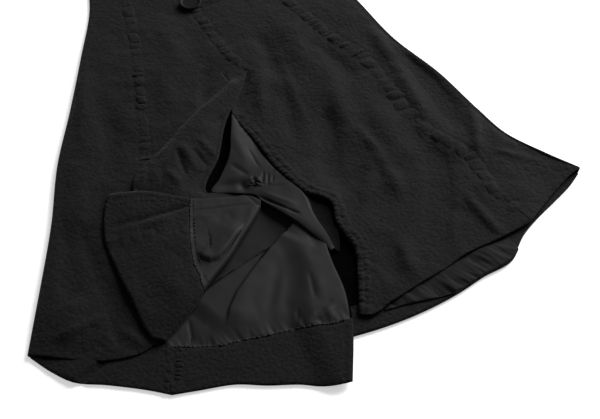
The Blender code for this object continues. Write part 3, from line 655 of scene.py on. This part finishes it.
def side_gore(node, front_seam, fold, back_seam, front_hem, back_hem):
    """Gore that goes from a front seam round the side fold to a back seam."""
    right = int(node == "side_right")
    ways = spaced(GORE_LENGTH, FINE, EDGE_RIM)[:, None]
    high = front_height(ways) - (1 - right) * hem_droop(ways)
    radius = (high - BACK_Z) / 2
    outer, seam = curve(fold)(ways[:, 0]), curve(front_seam)(ways[:, 0])
    width = np.linalg.norm(outer - seam, axis=1)[:, None]
    out = ((outer - seam) / width)[:, None, :]
    inset = radius / width
    shares = spaced(150, FINE, SEAM_RIM)[None, :]
    plan = between(front_seam, fold, front_hem, ways, (1 - inset) * shares + 0.0003)
    x, y = plan[..., 0], plan[..., 1]
    lift = right * (hem_rise(ways) * (1 - ease(shares / 0.5)) - corner_droop(ways, x))
    front = raised(plan, high + lift + front_relief(x, y, ways) * ease((1 - shares) / 0.14))
    turns = np.radians(np.linspace(78, -90, 11))
    bent = np.dstack([front[:, -1:, :2] + out * (radius * np.cos(turns))[..., None],
                      BACK_Z + radius + radius * np.sin(turns)])
    shares = spaced(150, COARSE, 1.0)[None, 1:]
    plan = between(fold, back_seam, back_hem, ways, inset + (1 - inset) * shares - 0.0003)
    to_roll = right * ROLL_LIFT * ramp(ways, 0.72, 0.12) * ramp(shares, 0.5, 0.5)
    grid = np.concatenate([front, bent, raised(plan, BACK_Z + to_roll)], axis=1)
    closed_cloth("wool_" + node, node, grid, (SEAM_RIM, SEAM_RIM, EDGE_RIM, EDGE_RIM))


def front_right():
    """Front right gore, whose slit edge is turned in, stitched and puckered."""
    ways = np.concatenate([np.linspace(0, 0.12, 16), np.linspace(0.12, 0.998, 366)[1:],
                           [0.9993, 1]])[:, None]
    shares = np.concatenate([[0, 0.0004, 0.0015, 0.004], np.arange(1.5, 30) / 200,
                             np.linspace(0.15, 1, 68)[:-1], [0.9985, 0.9995, 1]])[None, :]
    upper, lower = (between(edge, FRONT_SEAM_3, HEM_FRONT_RIGHT, ways, shares)
                    for edge in (FRONT_SEAM_2, FRONT_RIGHT_SLIT))
    plan = np.where((ways < SLIT_TOP)[..., None], upper, lower)
    x, y = plan[..., 0] + 0.04 * (1 - 2 * shares), plan[..., 1]
    height = front_height(ways) + hem_rise(ways) + front_relief(x, y, ways)
    height += EDGE_LIFT * bell(ways - 0.73, 0.10) * (1 - ease(shares / 0.35))
    s, off, _ = along_line(x, y, seam_line(FRONT_RIGHT_SLIT, SLIT_TOP, 1.0, 60))
    off = np.abs(off)
    edge = -1.2 * bell(off, 1.4) + 0.9 * noise(x, y, 8, 33) * bell(off, 20)
    for start, wander_seed, step, seed, place, half_width, rise in EDGE_ROWS:
        puffs = chain(s + start + 1.5 * noise(x, y, 6, wander_seed), step, seed)
        edge += rise * puffs * bell(off - place, half_width, 4)
    dip = ramp(ways, SLIT_TOP, 0.03) * (1 - ramp(ways, 0.45, 0.07))
    height += edge * ramp(ways, 0.465, 0.03) - SLIT_DIP * bell(off, DIP_WIDTH) * dip
    slit_rim = np.where(ways > SLIT_TOP, 1.3, SEAM_RIM)
    closed_cloth("wool_front_right", "front_right", np.dstack([x, y, height]),
                 (slit_rim, SEAM_RIM, EDGE_RIM, EDGE_RIM))


# ---- front left gore: columns of its rows, and shares of the first of them ----
MAIN, BEND, UNDER, TOP, TURN, FLAP = 46, 5, 6, 52, 10, 60
TOP_COLUMN = MAIN + 2 * BEND + UNDER
TURN_COLUMN = TOP_COLUMN + TOP
MAIN_SHARES = np.concatenate([[0, 0.0004, 0.0014], np.linspace(0.006, 1, MAIN - 3)])


def corner_row(way):
    """One row across the front left gore below the slit's top, from seam 1 to the slit's edge."""
    gore_way = SLIT_TOP + (1 - SLIT_TOP) * way
    high = float(front_height(gore_way))
    seam = curve(FRONT_SEAM_1)(gore_way)
    *crest, depth, swell = curve(PLEAT)(way)
    crest, far = np.array(crest), curve(FAR_SIDE)(way)
    step = PLEAT_STEP * float(ease(way / 0.08) * (1 - ramp(way, 0.90, 0.08)))
    radius = step / 2
    out = (far - crest) / np.linalg.norm(far - crest)
    back, crest_end = crest + out * (depth - radius), crest + out * radius
    parts = []

    def add(xy, z):
        parts.append(np.column_stack([xy, np.broadcast_to(z, len(xy))]))

    # from the seam in under the pleat, back out to its crest, and over it
    add(seam + (back - seam) * MAIN_SHARES[:, None], high)
    turns = np.radians(np.linspace(-75, 75, BEND))
    rounded = out * (radius * np.cos(turns))[:, None]
    rise = radius + radius * np.sin(turns)
    add(back + rounded, high + rise)
    share = np.linspace(0.06, 0.94, UNDER)
    add(back + (crest_end - back) * share[:, None], high + step)
    add(crest_end - rounded, high + step + rise)
    # the top layer, to the tuck beside the slit or to the turned fold
    turned = float(ramp(way, TURN_STARTS - 0.02, 0.05))
    turn_radius = TURN_RADIUS * (1 - 0.65 * float(ramp(way, 0.9, 0.1)))
    low = high + 0.4
    share = np.linspace(0, 1, TOP)
    arch = max(swell, 0) * np.sin(np.pi * np.minimum(share * 1.05, 1)).clip(0) ** 0.8
    stop = far - out * (turn_radius * turned + 2.5 * (1 - turned))
    add(crest_end + (stop - crest_end) * share[:, None],
        high + 2 * step - (2 * step - 0.4) * ramp(share, 0.35, 0.65) + arch)
    # the tuck turns down, the turned fold turns up, and one goes over into the other
    bend_radius = TUCK_RADIUS * (1 - turned) + turn_radius * turned
    turns = np.radians(np.linspace(-72, 88, TURN))
    add(stop + out * (bend_radius * np.cos(turns))[:, None],
        low + bend_radius * (1 + np.sin(turns)) * (2 * turned - 1))
    # behind it, the tuck's tail or the turned corner
    share = np.linspace(1 / FLAP, 1, FLAP)
    tail = 16 * float(ease(way / 0.2) * (1 - ramp(way, 0.5, 0.1))) + 3
    tail_xy = stop - out * (tail * share)[:, None]
    share_turned = max(way - TURN_STARTS, 0) / (1 - TURN_STARTS)
    end = outline(TURNED_SLIT_EDGE)(share_turned)
    flap_xy = stop + (end - stop) * share[:, None] + bulge(TURNED_HEM_EDGE, share) * share_turned ** 3
    x, y = flap_xy.T
    flap_z = low + 2 * (turn_radius + (TURN_RADIUS - turn_radius) * ease(share / 0.35))
    flap_z += 2.6 * bell(x + 195, 40) - 1.4 * ease((-205 - x) / 30) * ramp(y, -20, 90)
    flap_z -= FLAP_DROOP * ramp(share, 0.78, 0.22) * (1 - ramp(y, -20, 90))
    add(tail_xy * (1 - turned) + flap_xy * turned, (low - 2 * TUCK_RADIUS) * (1 - turned) + flap_z * turned)
    return np.concatenate(parts)


def flap_relief(x, y):
    """Unevenness, folds and puckers of the turned corner."""
    height = uneven(x, y, (0.9, 45, 21), (0.5, 17, 22), (0.2, 7, 23)) + folds(x, y, FLAP_FOLDS)
    height += puckers(x, y, FLAP_SEAM, 6, 15, 2.2, 24, 2.4) + ledge(x, y, TUCK_ON_LINING, 4.2, 1.8, 24)
    s, off, _ = along_line(x, y, FLAP_EDGE)
    off = np.abs(off)
    height += chain(s, 5.5, 25) * bell(off - 4, 3) * 1.5 * ease((-128 - x) / 6 + 1)
    return height - 1.0 * bell(off, 2.5)


def front_left():
    """Front left gore with its pleat and turned corner; returns the grid of its lower rows and their ways."""
    low_ways = np.concatenate([np.linspace(0.006, 0.08, 12), np.linspace(0.08, 1, 180)[1:]])
    corner = np.array([corner_row(way) for way in low_ways])
    passed = lengths(corner[6])
    plain_ways = np.concatenate([np.linspace(0, 0.10, 10), np.linspace(0.10, SLIT_TOP, 66)[1:]])
    left = curve(FRONT_SEAM_1)(plain_ways)[:, None, :]
    right = curve(FRONT_SEAM_2)(plain_ways)[:, None, :] - (0.1, 0)
    plan = left + (right - left) * (passed / passed[-1])[None, :, None]
    plain = raised(plan, front_height(plain_ways)[:, None])
    grid = np.concatenate([plain, corner])
    grid[:, :MAIN, 0] += 0.04 * (1 - MAIN_SHARES)
    x, y = grid[..., 0], grid[..., 1]
    ways = np.concatenate([plain_ways, SLIT_TOP + (1 - SLIT_TOP) * low_ways])[:, None]
    relief = front_relief(x, y, ways)
    count = len(plain)
    relief[count:, :MAIN] *= 1 - ramp(MAIN_SHARES, 0.85, 0.15)
    relief[count:, MAIN:] = 0
    top = slice(TOP_COLUMN, TURN_COLUMN)
    across = np.linspace(0, 1, TOP)
    on_pleat = (0.6 * wool_relief(x, y) + folds(x, y, PLEAT_FOLDS))[count:, top]
    crest_dots = 0.9 * noise(x, y, 4.5, 41)[count:, top] * bell(across, 0.10)
    under_flap = 1 - ramp(low_ways, 0.60, 0.08)[:, None]
    on_pleat = on_pleat * ease(across / 0.10) * ease((1 - across) / 0.10)
    relief[count:, top] = (on_pleat + crest_dots) * under_flap
    grid[..., 2] += relief - hem_droop(ways)
    flap = slice(TURN_COLUMN + TURN, None)
    turned = ramp(low_ways, TURN_STARTS + 0.02, 0.05)[:, None]
    near_fold = ease(np.linspace(0, 1, FLAP) / 0.08)
    grid[count:, flap, 2] += flap_relief(x[count:, flap], y[count:, flap]) * turned * near_fold
    slit_rim = np.where(np.arange(len(grid)) < count, SEAM_RIM, 1.2)[:, None]
    closed_cloth("wool_front_left", "front_left", grid, (SEAM_RIM, slit_rim, EDGE_RIM, EDGE_RIM))
    return grid[count:], low_ways


def turned_inside(corner, ways):
    """Facing and lining on the turned corner: its inner side, which is up there."""
    outer = corner[:, TURN_COLUMN + 1:]
    share = np.linspace(0, 1, outer.shape[1])
    seam = straight(FACING_SEAM, share)
    down = np.linspace(0, 1, 66)[:, None]
    facing = resampled(lifted(outer, -FACING_LIFT), ways, seam + 0.001 + (1 - seam - 0.001) * down)
    facing = lifted(facing, SEAM_SINK * (1 - ease(down / 0.06)))
    closed_cloth("facing_turned_wool", "facing_turned", facing[:, ::-1], (1.2, 1.0, 1.0, 1.3))
    down = np.linspace(0, 1, 80)[:, None]
    rows = TURNED_LINING_TOP + (seam + SEAM_LAP / CORNER_LENGTH - TURNED_LINING_TOP) * down
    lining = resampled(lifted(outer, -SATIN_LIFT), ways, rows)
    lining = lifted(lining, -SEAM_RISE * ramp(down, 0.94, 0.05))
    x, y = lining[..., 0], lining[..., 1]
    s, off, _ = along_line(x, y, FLAP_GATHERS)
    gathers = 0.7 * (chain(s, 5, 51) - 0.4) * bell(off, 9)
    lining[..., 2] += (folds(x, y, TURNED_LINING_FOLDS) + gathers) * ease(share / 0.1)
    satin_cloth("lining_turned_satin", "lining_turned", lining[:, ::-1])
    for number, row in enumerate((-2, -8)):
        stitches(f"stitches_turned_{number}", lining[row] + (0, 0, 0.4), 2.0, 4.4, 1.3, 110 + number)
    stitches("pads_turned_edge", facing[:, -6] + (0, 0, 0.8), 7, 5.5, 1.4, 112, finish=wool)


# ---- back ----
def back_left_points(way, share):
    way, share = np.broadcast_arrays(way, share)
    plan = between(BACK_SEAM_1, BACK_LEFT_EDGE, HEM_BACK_LEFT, way, share)
    x = plan[..., 0]
    starts = -48 - 24 * ramp(way, 0.75, 0.15)
    lap = ramp(way, 0.26, 0.10) * ramp(x, starts, 34)
    height = LAP_LIFT + ROLL_LIFT * ramp(way, 0.66, 0.10)
    return np.dstack([x - 0.3 * (1 - share), plan[..., 1], BACK_Z + height * lap])


def back_right_points(way, share):
    way, share = np.broadcast_arrays(way, share)
    plan = between(BACK_RIGHT_EDGE, BACK_SEAM_3, HEM_BACK_RIGHT, way, share)
    inset = ROLL_RADIUS * ramp(way, 0.84, 0.16)
    lift = ROLL_LIFT * ramp(way, 0.72, 0.12)
    return np.dstack([plan[..., 0] + (0.3 - HEM_SLANT * inset) * share, plan[..., 1] + inset, BACK_Z + lift])


def back_gores():
    """Back gores; the right one's hem is rolled under. Both are painted in shade where they show deep in the
    slit: the left one all over, the right one above a line.
    """
    ways, shares = spaced(GORE_LENGTH, COARSE * 0.6, EDGE_RIM)[:, None], spaced(200, COARSE * 0.6, EDGE_RIM)
    # painted shade: the back left gore shows only in the slit's shadow, so it gets the painted-shade wool all
    # over
    closed_cloth("wool_back_left", "back_left", back_left_points(ways, shares),
                 (SEAM_RIM, EDGE_RIM, EDGE_RIM, EDGE_RIM), finish=wool_painted_shade)
    grid = back_right_points(ways, shares)
    rolled = []
    for turn, inward in ROLL_TURNS:
        out = ROLL_RADIUS * math.cos(math.radians(turn)) - inward
        drop = ROLL_RADIUS * (1 - math.sin(math.radians(turn)))
        rolled.append(grid[-1] + np.outer(shares, (HEM_SLANT * out, 0, 0)) - (0, out, drop))
    made = closed_cloth("wool_back_right", "back_right", np.concatenate([grid, rolled]),
                        (EDGE_RIM, SEAM_RIM, EDGE_RIM, EDGE_RIM))
    x, y = face_middles(made)
    # painted shade: faces above the dark line take the near-black wool, since that part lies in the slit's
    # shadow
    give_finishes(made, y > DARK_ABOVE + DARK_SLANT * x, wool_painted_shade)


def facing_relief(x, y, seed):
    return uneven(x, y, (0.5, 30, seed), (0.3, 11, seed + 1), (0.12, 5, seed + 2))


def facing_top(x, y, share):
    return BACK_Z + FACING_LIFT + CLEAR + WOOL / 2


def facing_way(share):
    return 1 - straight(FACING_BACK, share) / GORE_LENGTH


def back_facings():
    """Hem facings behind, on the left side gore and on the back left one, with the pads of their seam."""
    down = spaced(60, FINE, 1.2)[:, None]
    shares = spaced(150, FINE, 1.2)
    starts = 1 - straight(FACING_BACK_SIDE, shares) / SIDE_LENGTH
    plan = between(LEFT_FOLD, BACK_SEAM_1, HEM_BACK_LEFT_SIDE, starts + (1 - starts) * down,
                   0.04 + 0.9597 * shares)
    x, y = plan[..., 0], plan[..., 1]
    height = BACK_Z + FACING_LIFT + facing_relief(x, y, 61) * 0.6 + folds(x, y, SIDE_FACING_FOLDS)
    height += ledge(x, y, SIDE_FACING_LEDGE, 3.2, 3, 30)
    height += puckers(x, y, SIDE_FACING_SEAM, 11, 11, 0.7, 62, 2.2)
    closed_cloth("facing_back_side_wool", "facing_back_side", raised(plan, height), (1.2, SEAM_RIM, 1.2, 1.3))

    shares = spaced(205, FINE, 1.2)
    starts = facing_way(shares)
    grid = back_left_points(starts + (1 - starts) * down, shares)
    x, y = grid[..., 0], grid[..., 1]
    relief = facing_relief(x, y, 63) * 0.8 + puckers(x, y, BACK_FACING_SEAM, 11, 11, 0.7, 62, 2.2)
    s, off, _ = along_line(x, y, seam_line(BACK_LEFT_EDGE, 0.85, 1.0))
    off = np.abs(off)
    relief += 0.9 * bell(off - 4.5, 3) * (0.5 + 0.5 * chain(s, 9, 65))
    relief -= 0.5 * bell(off - 9, 1.6) + SEAM_SINK * (1 - ease(down / 0.06))
    grid[..., 2] += FACING_LIFT + CLEAR + relief
    closed_cloth("facing_back_wool", "facing_back", grid, (SEAM_RIM, 1.3, 1.2, 1.3))
    pads("facing_pads_left", LEFT_PADS, 8, 7, 0.9, 104, facing_top, 3)
    pads("facing_pads_right", RIGHT_PADS, 10, 7, 1.4, 105, facing_top, 3)


def lining_relief(x, y, to_seam):
    """Folds of the back left lining: overlapping edges, a hollow under the upper one, gathers at the seam."""
    height = uneven(x, y, (0.5, 40, 71), (0.25, 16, 72)) + folds(x, y, BACK_LINING_FOLDS)
    height += ledge(x, y, LAPPED_EDGE, 5.0, 1.8, 75) + ledge(x, y, SECOND_EDGE, 3.4, 1.6, 26)
    s, off, run = along_line(x, y, LAPPED_EDGE)
    height -= 1.2 * bell(off, 30) * (off < 0) * ease(s / 30) * ease((run - s) / 40)
    s, off, _ = along_line(x, y, BACK_LEFT_SEAM)
    lean = s + 0.25 * np.abs(off)
    fade = bell(to_seam, 16) * 0.8 + bell(to_seam, 40) * 0.35
    height += 1.3 * noise(lean, 0.22 * to_seam, 8, 73) * fade
    return height + 0.8 * noise(lean, 0.2 * to_seam, 3.2, 74) * bell(to_seam, 13)


def back_left_lining():
    """Lining of the back left gore: layers that overlap. The upper one is painted in half shade, and strips
    of painted shade mark the gaps under its edge.
    """
    shares = np.linspace(0, 1, 122)
    meets = facing_way(shares) + SEAM_LAP / GORE_LENGTH
    ways = LINING_STARTS + (meets - LINING_STARTS) * np.linspace(0, 1, 184)[:, None]
    grid = back_left_points(ways, shares)
    grid[..., 0] -= SLIT_MARGIN * ramp(shares, 0.72, 0.28)
    to_seam = (meets - ways) * GORE_LENGTH
    relief = lining_relief(grid[..., 0], grid[..., 1], to_seam)
    relief *= (ease(to_seam / 5) * 0.9 + 0.1) * ramp(ways, LINING_STARTS, 0.06)
    grid[..., 2] += SATIN_LIFT + CLEAR + 1.6 * ease(to_seam / 30) + relief
    grid[..., 2] += SEAM_RISE * (1 - ramp(to_seam, 1.5, 3))
    made = satin_cloth("lining_back_left_satin", "lining_back_left", grid)
    x, y = face_middles(made)
    s, off, run = along_line(x, y, LAPPED_EDGE)
    # painted shade: the upper layer's faces take the half-shade satin, and faces along the gaps take the
    # near-black wool
    numbers = 2 * ((off < 0) & (s > 0) & (s < run))
    for line in LINING_GAPS:
        s, off, run = along_line(x, y, line)
        numbers[(np.abs(off) < GAP_WIDTH / 2) & (s > 0) & (s < run)] = 1
    give_finishes(made, numbers, wool_painted_shade, satin_painted_half_shade)
    stitches("stitches_back", grid[-2, 4:-3] + (0, 0, 0.7), 3.0, 4.8, 1.5, 113, 0.3)


def back_right_lining():
    """Lining of the back right gore, gathered to its seam, and over the rolled hem where no wool shows."""
    shares = np.linspace(0, 1, 150)
    ends = 1 - straight(WOOL_BELOW_LINING, shares) / GORE_LENGTH
    ways = RIGHT_LINING_STARTS + (ends - RIGHT_LINING_STARTS) * np.linspace(0, 1, 64)[:, None]
    begins = 0.36 - 0.14 * ramp(ways, 0.88, 0.10)
    across = begins + (1 - begins) * shares
    grid = back_right_points(np.minimum(ways, 1), across)
    past = np.clip(ways - 1, 0, None) * GORE_LENGTH
    grid[..., 0] += HEM_SLANT * past * across
    grid[..., 1] -= past
    x, y = grid[..., 0], grid[..., 1]
    to_seam = (ends - ways) * GORE_LENGTH
    s = along_line(x, y, HEM_BACK_RIGHT)[0]
    lean = s + 0.3 * to_seam
    gathers = 2.4 * noise(lean, 0.25 * to_seam, 11, 81) * (0.6 + 0.5 * noise(x, y, 26, 84))
    gathers = (gathers + 0.8 * noise(lean, 0.2 * to_seam, 4, 82)) * bell(to_seam, 34)
    relief = gathers + folds(x, y, RIGHT_LINING_FOLDS) + 0.6 * noise(x, y, 24, 83)
    over = ROLL_LIFT * (1 - np.sqrt(np.clip(1 - (past / ROLL_LIFT) ** 2, 0.05, 1)))
    grid[..., 2] += SATIN_LIFT + CLEAR + relief * ease(to_seam / 3) - over
    # painted shade: this lining takes the darker satin because it lies under the front right hem
    satin_cloth("lining_back_right_satin", "lining_back_right", grid, satin_shaded)


def slit_lining():
    """Strip of lining that comes down the slit, is gathered at a knot and twists under the right edge."""
    rows = curve(SLIT_LINING)(np.linspace(0, 1, 235))
    left, crest, under = rows[:, None, 0:3], rows[:, None, 3:6], rows[:, None, 6:9]
    flank = left + (1.5, 0, 0) - np.array([0, 0, 0.9]) * np.clip(left[..., 2:] - 3.6, 0, None)
    turned_in = flank + (left - flank) * np.array([0, 0.35, 0.7])[:, None]
    share = np.linspace(0, 1, 66)[:, None]
    shown = left + (crest - left) * share
    width = np.linalg.norm((crest - left)[..., :2], axis=-1)
    shown[..., 2] += 1.4 * np.sin(np.pi * share[:, 0] ** 0.8) * np.clip(width / 40, 0, 1) ** 0.5
    share = np.linspace(0.05, 1, 16)[:, None]
    hidden = crest + (under - crest) * share
    hidden[..., 2] = crest[..., 2] + (under - crest)[..., 2] * share[:, 0] ** 0.35
    grid = np.concatenate([turned_in, shown, hidden], axis=1)
    x, y = grid[..., 0], grid[..., 1]
    knot_x, knot_y, knot_radius = KNOT
    knot = bell(np.hypot(x - knot_x, y - knot_y), knot_radius, 4)
    hole = bell(x + 58, 6) * bell(y - 53, 8)
    hollow = bell(x + 74, 16) * bell(y - 62, 7)
    grid[..., 2] += knot * (2.6 * noise(x, y, 2.6, 91) + 0.8) - 4.5 * hole - 3.0 * hollow
    grid[..., 2] += folds(x, y, SLIT_LINING_FOLDS) + 0.4 * noise(x, y, 15, 92)
    made = satin_cloth("lining_slit_satin", "lining_slit", grid, rim=0.5)
    columns, rows_up = grid.shape[1] - 1, grid.shape[0] - 1
    last_shown = turned_in.shape[1] + shown.shape[1] + 1
    # painted shade: the columns hidden under the front right gore's edge take the near-black satin
    give_finishes(made, np.tile(np.arange(columns), 2 * rows_up) >= last_shown, satin_painted_dark_shade)


# ---- waistband, placket, buttons ----
def waistband():
    """Band in one length: over the front from its lap at the button, round both ends, and behind."""
    low, high, lapped = BAND_WALL / 2, BAND_WALL * 1.5 + 0.6, BAND_WALL * 2.5 + 1.0
    radius = (high - low) / 2
    end = HALF_WAIST - BAND_WALL / 2 - radius
    turns = np.radians(np.linspace(75, -75, 9))
    path = [(x, lapped) for x in (PLACKET_LEFT, -33, -31, *np.linspace(-26, 22, 14))]
    path += [(x, lapped + (high - lapped) * float(ramp(x, 22, 26))) for x in np.linspace(25, 48, 8)]
    path += [(x, high) for x in np.linspace(52, end, 22)]
    path += [(end + radius * math.cos(t), low + radius + radius * math.sin(t)) for t in turns]
    path += [(x, low) for x in np.linspace(end, -end, 50)]
    path += [(-end - radius * math.cos(t), low + radius + radius * math.sin(t)) for t in turns[::-1]]
    path += [(x, high) for x in np.linspace(-end, -15, 32)]
    rows = WAIST_Y - BAND_LAP + (BAND_DEPTH + BAND_LAP) * spaced(40, 2.5, 1.5)
    grid = np.array([[(x, y, z) for x, z in path] for y in rows[::-1]])
    x, y = grid[..., 0], grid[..., 1]
    topstitch = bell(y - WAIST_Y - 5, 1.2) + bell(y - WAIST_Y - BAND_DEPTH + 5, 1.2)
    grid = lifted(grid, -0.25 * (topstitch + noise(x, y, 15, 95)))
    closed_cloth("waistband_wool", "waistband", grid, (EDGE_RIM,) * 4, BAND_WALL - CLEAR)


def placket():
    x = PLACKET_LEFT + (PLACKET_RIGHT - PLACKET_LEFT) * spaced(52, 2, 1.4)
    y = PLACKET_FOOT + (WAIST_Y - BAND_LAP - PLACKET_FOOT) * spaced(108, 2.2, 1.4)[::-1]
    x, y = np.meshgrid(x, y)
    height = front_height((WAIST_Y - y) / MIDDLE_LENGTH) + FACING_LIFT + CLEAR
    height += 0.5 * noise(x, y, 14, 97) * ease((420 - y) / 30) - WOOL * (1 - ramp(y, PLACKET_FOOT, 12))
    closed_cloth("placket_wool", "placket", np.dstack([x, y, height]), (1.3,) * 4)


def button(name, y, rests_at, node):
    """Turned button with a raised rim round a shallow dish, on a shank."""
    inner, outer, top = BUTTON_RADIUS - 2.4, BUTTON_RADIUS, rests_at + 4.0
    profile = [(0.4, top - 1.2), (inner - 3.0, top - 1.25), (inner - 1.0, top - 1.1),
               (inner - 0.2, top - 0.6), (inner + 0.6, top - 0.12), (outer - 1.0, top),
               (outer - 0.3, top - 0.3), (outer, top - 0.9), (outer - 0.4, top - 1.8),
               (outer - 1.6, top - 2.4), (4.2, top - 2.6), (3.6, top - 3.0), (3.5, rests_at)]
    angles = np.linspace(0, 2 * math.pi, 72, endpoint=False)
    places = [(BUTTON_X + r * math.cos(a), y + r * math.sin(a), z) for r, z in profile for a in angles]
    places += [(BUTTON_X, y, top - 1.2), (BUTTON_X, y, rests_at)]
    rings = np.arange(len(profile) * len(angles)).reshape(len(profile), -1)
    rings = np.column_stack([rings, rings[:, 0]])
    faces = quads(rings).tolist()
    faces += [(len(places) - 2, a, b) for a, b in zip(rings[0, :-1].tolist(), rings[0, 1:].tolist())]
    faces += [(len(places) - 1, b, a) for a, b in zip(rings[-1, :-1].tolist(), rings[-1, 1:].tolist())]
    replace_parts(piece(name, places, faces, horn), node)


# ---- camera, light and floor ----
def aimed(name, data, place):
    """Camera or lamp at a place, turned to the frame's origin."""
    made = bpy.data.objects.new(name, data)
    made.location = place
    made.rotation_euler = (-made.location).to_track_quat("-Z", "Y").to_euler()
    bpy.context.scene.collection.objects.link(made)
    return made


def stage():
    scene = bpy.context.scene
    rise, turn = math.radians(CAMERA_RISE), math.radians(CAMERA_TURN)
    across = CAMERA_DISTANCE * math.cos(rise)
    camera = bpy.data.cameras.new("camera")
    camera.lens, camera.sensor_width = 100, 36
    scene.camera = aimed("camera", camera, (across * math.sin(turn), -across * math.cos(turn),
                                            CAMERA_DISTANCE * math.sin(rise)))
    lamp = bpy.data.lights.new("key", "AREA")
    lamp.size, lamp.energy = LAMP_SIZE, LAMP_WATTS
    aimed("key", lamp, LAMP_PLACE)
    floor = bpy.data.meshes.new("floor")
    corners = [(-1, -1), (1, -1), (1, 1), (-1, 1)]
    floor.from_pydata([(x * FLOOR_HALF, y * FLOOR_HALF, FLOOR_Z) for x, y in corners], [], [(0, 1, 2, 3)])
    floor.materials.append(new_material("floor_white", {
        "Base Color": (0.92, 0.92, 0.92, 1), "Roughness": 0.9, "Specular IOR Level": 0.0,
        "Emission Color": (1, 1, 1, 1), "Emission Strength": FLOOR_GLOW})[0])
    ground = bpy.data.objects.new("floor", floor)
    scene.collection.objects.link(ground)
    scene.world = bpy.data.worlds.new("studio")
    scene.world.use_nodes = True
    give(scene.world.node_tree.nodes["Background"], {"Color": (1, 1, 1, 1), "Strength": WORLD_LIGHT})
    scene.view_settings.view_transform = "Standard"


stage()
seam_pads("seam_pads_left", FRONT_SEAM_1, 0.08, 0.565, 15, 15, 1.6, 101)
seam_pads("seam_pads_slit", FRONT_SEAM_2, 0.135, 0.352, 15, 10, 1.9, 102, power=3)
seam_pads("seam_pads_right", FRONT_SEAM_3, 0.10, 0.975, 21, 15, 2.6, 103, right=1, power=2.5, gaps=0.2)
side_gore("side_left", FRONT_SEAM_1, LEFT_FOLD, BACK_SEAM_1, HEM_FRONT_LEFT_SIDE[::-1], HEM_BACK_LEFT_SIDE)
side_gore("side_right", FRONT_SEAM_3, RIGHT_FOLD, BACK_SEAM_3, HEM_FRONT_RIGHT_SIDE,
          HEM_BACK_RIGHT_SIDE[::-1])
front_right()
corner_grid, corner_ways = front_left()
turned_inside(corner_grid, corner_ways)
back_gores()
back_facings()
back_left_lining()
back_right_lining()
slit_lining()
waistband()
placket()
low_button_z = front_height((WAIST_Y - BUTTON_LOW_Y) / MIDDLE_LENGTH) + FACING_LIFT + 1.3
button("button_low", BUTTON_LOW_Y, low_button_z, "button_placket")
button("button_high", BUTTON_HIGH_Y, BAND_WALL * 3 + 1.3, "button_waist")
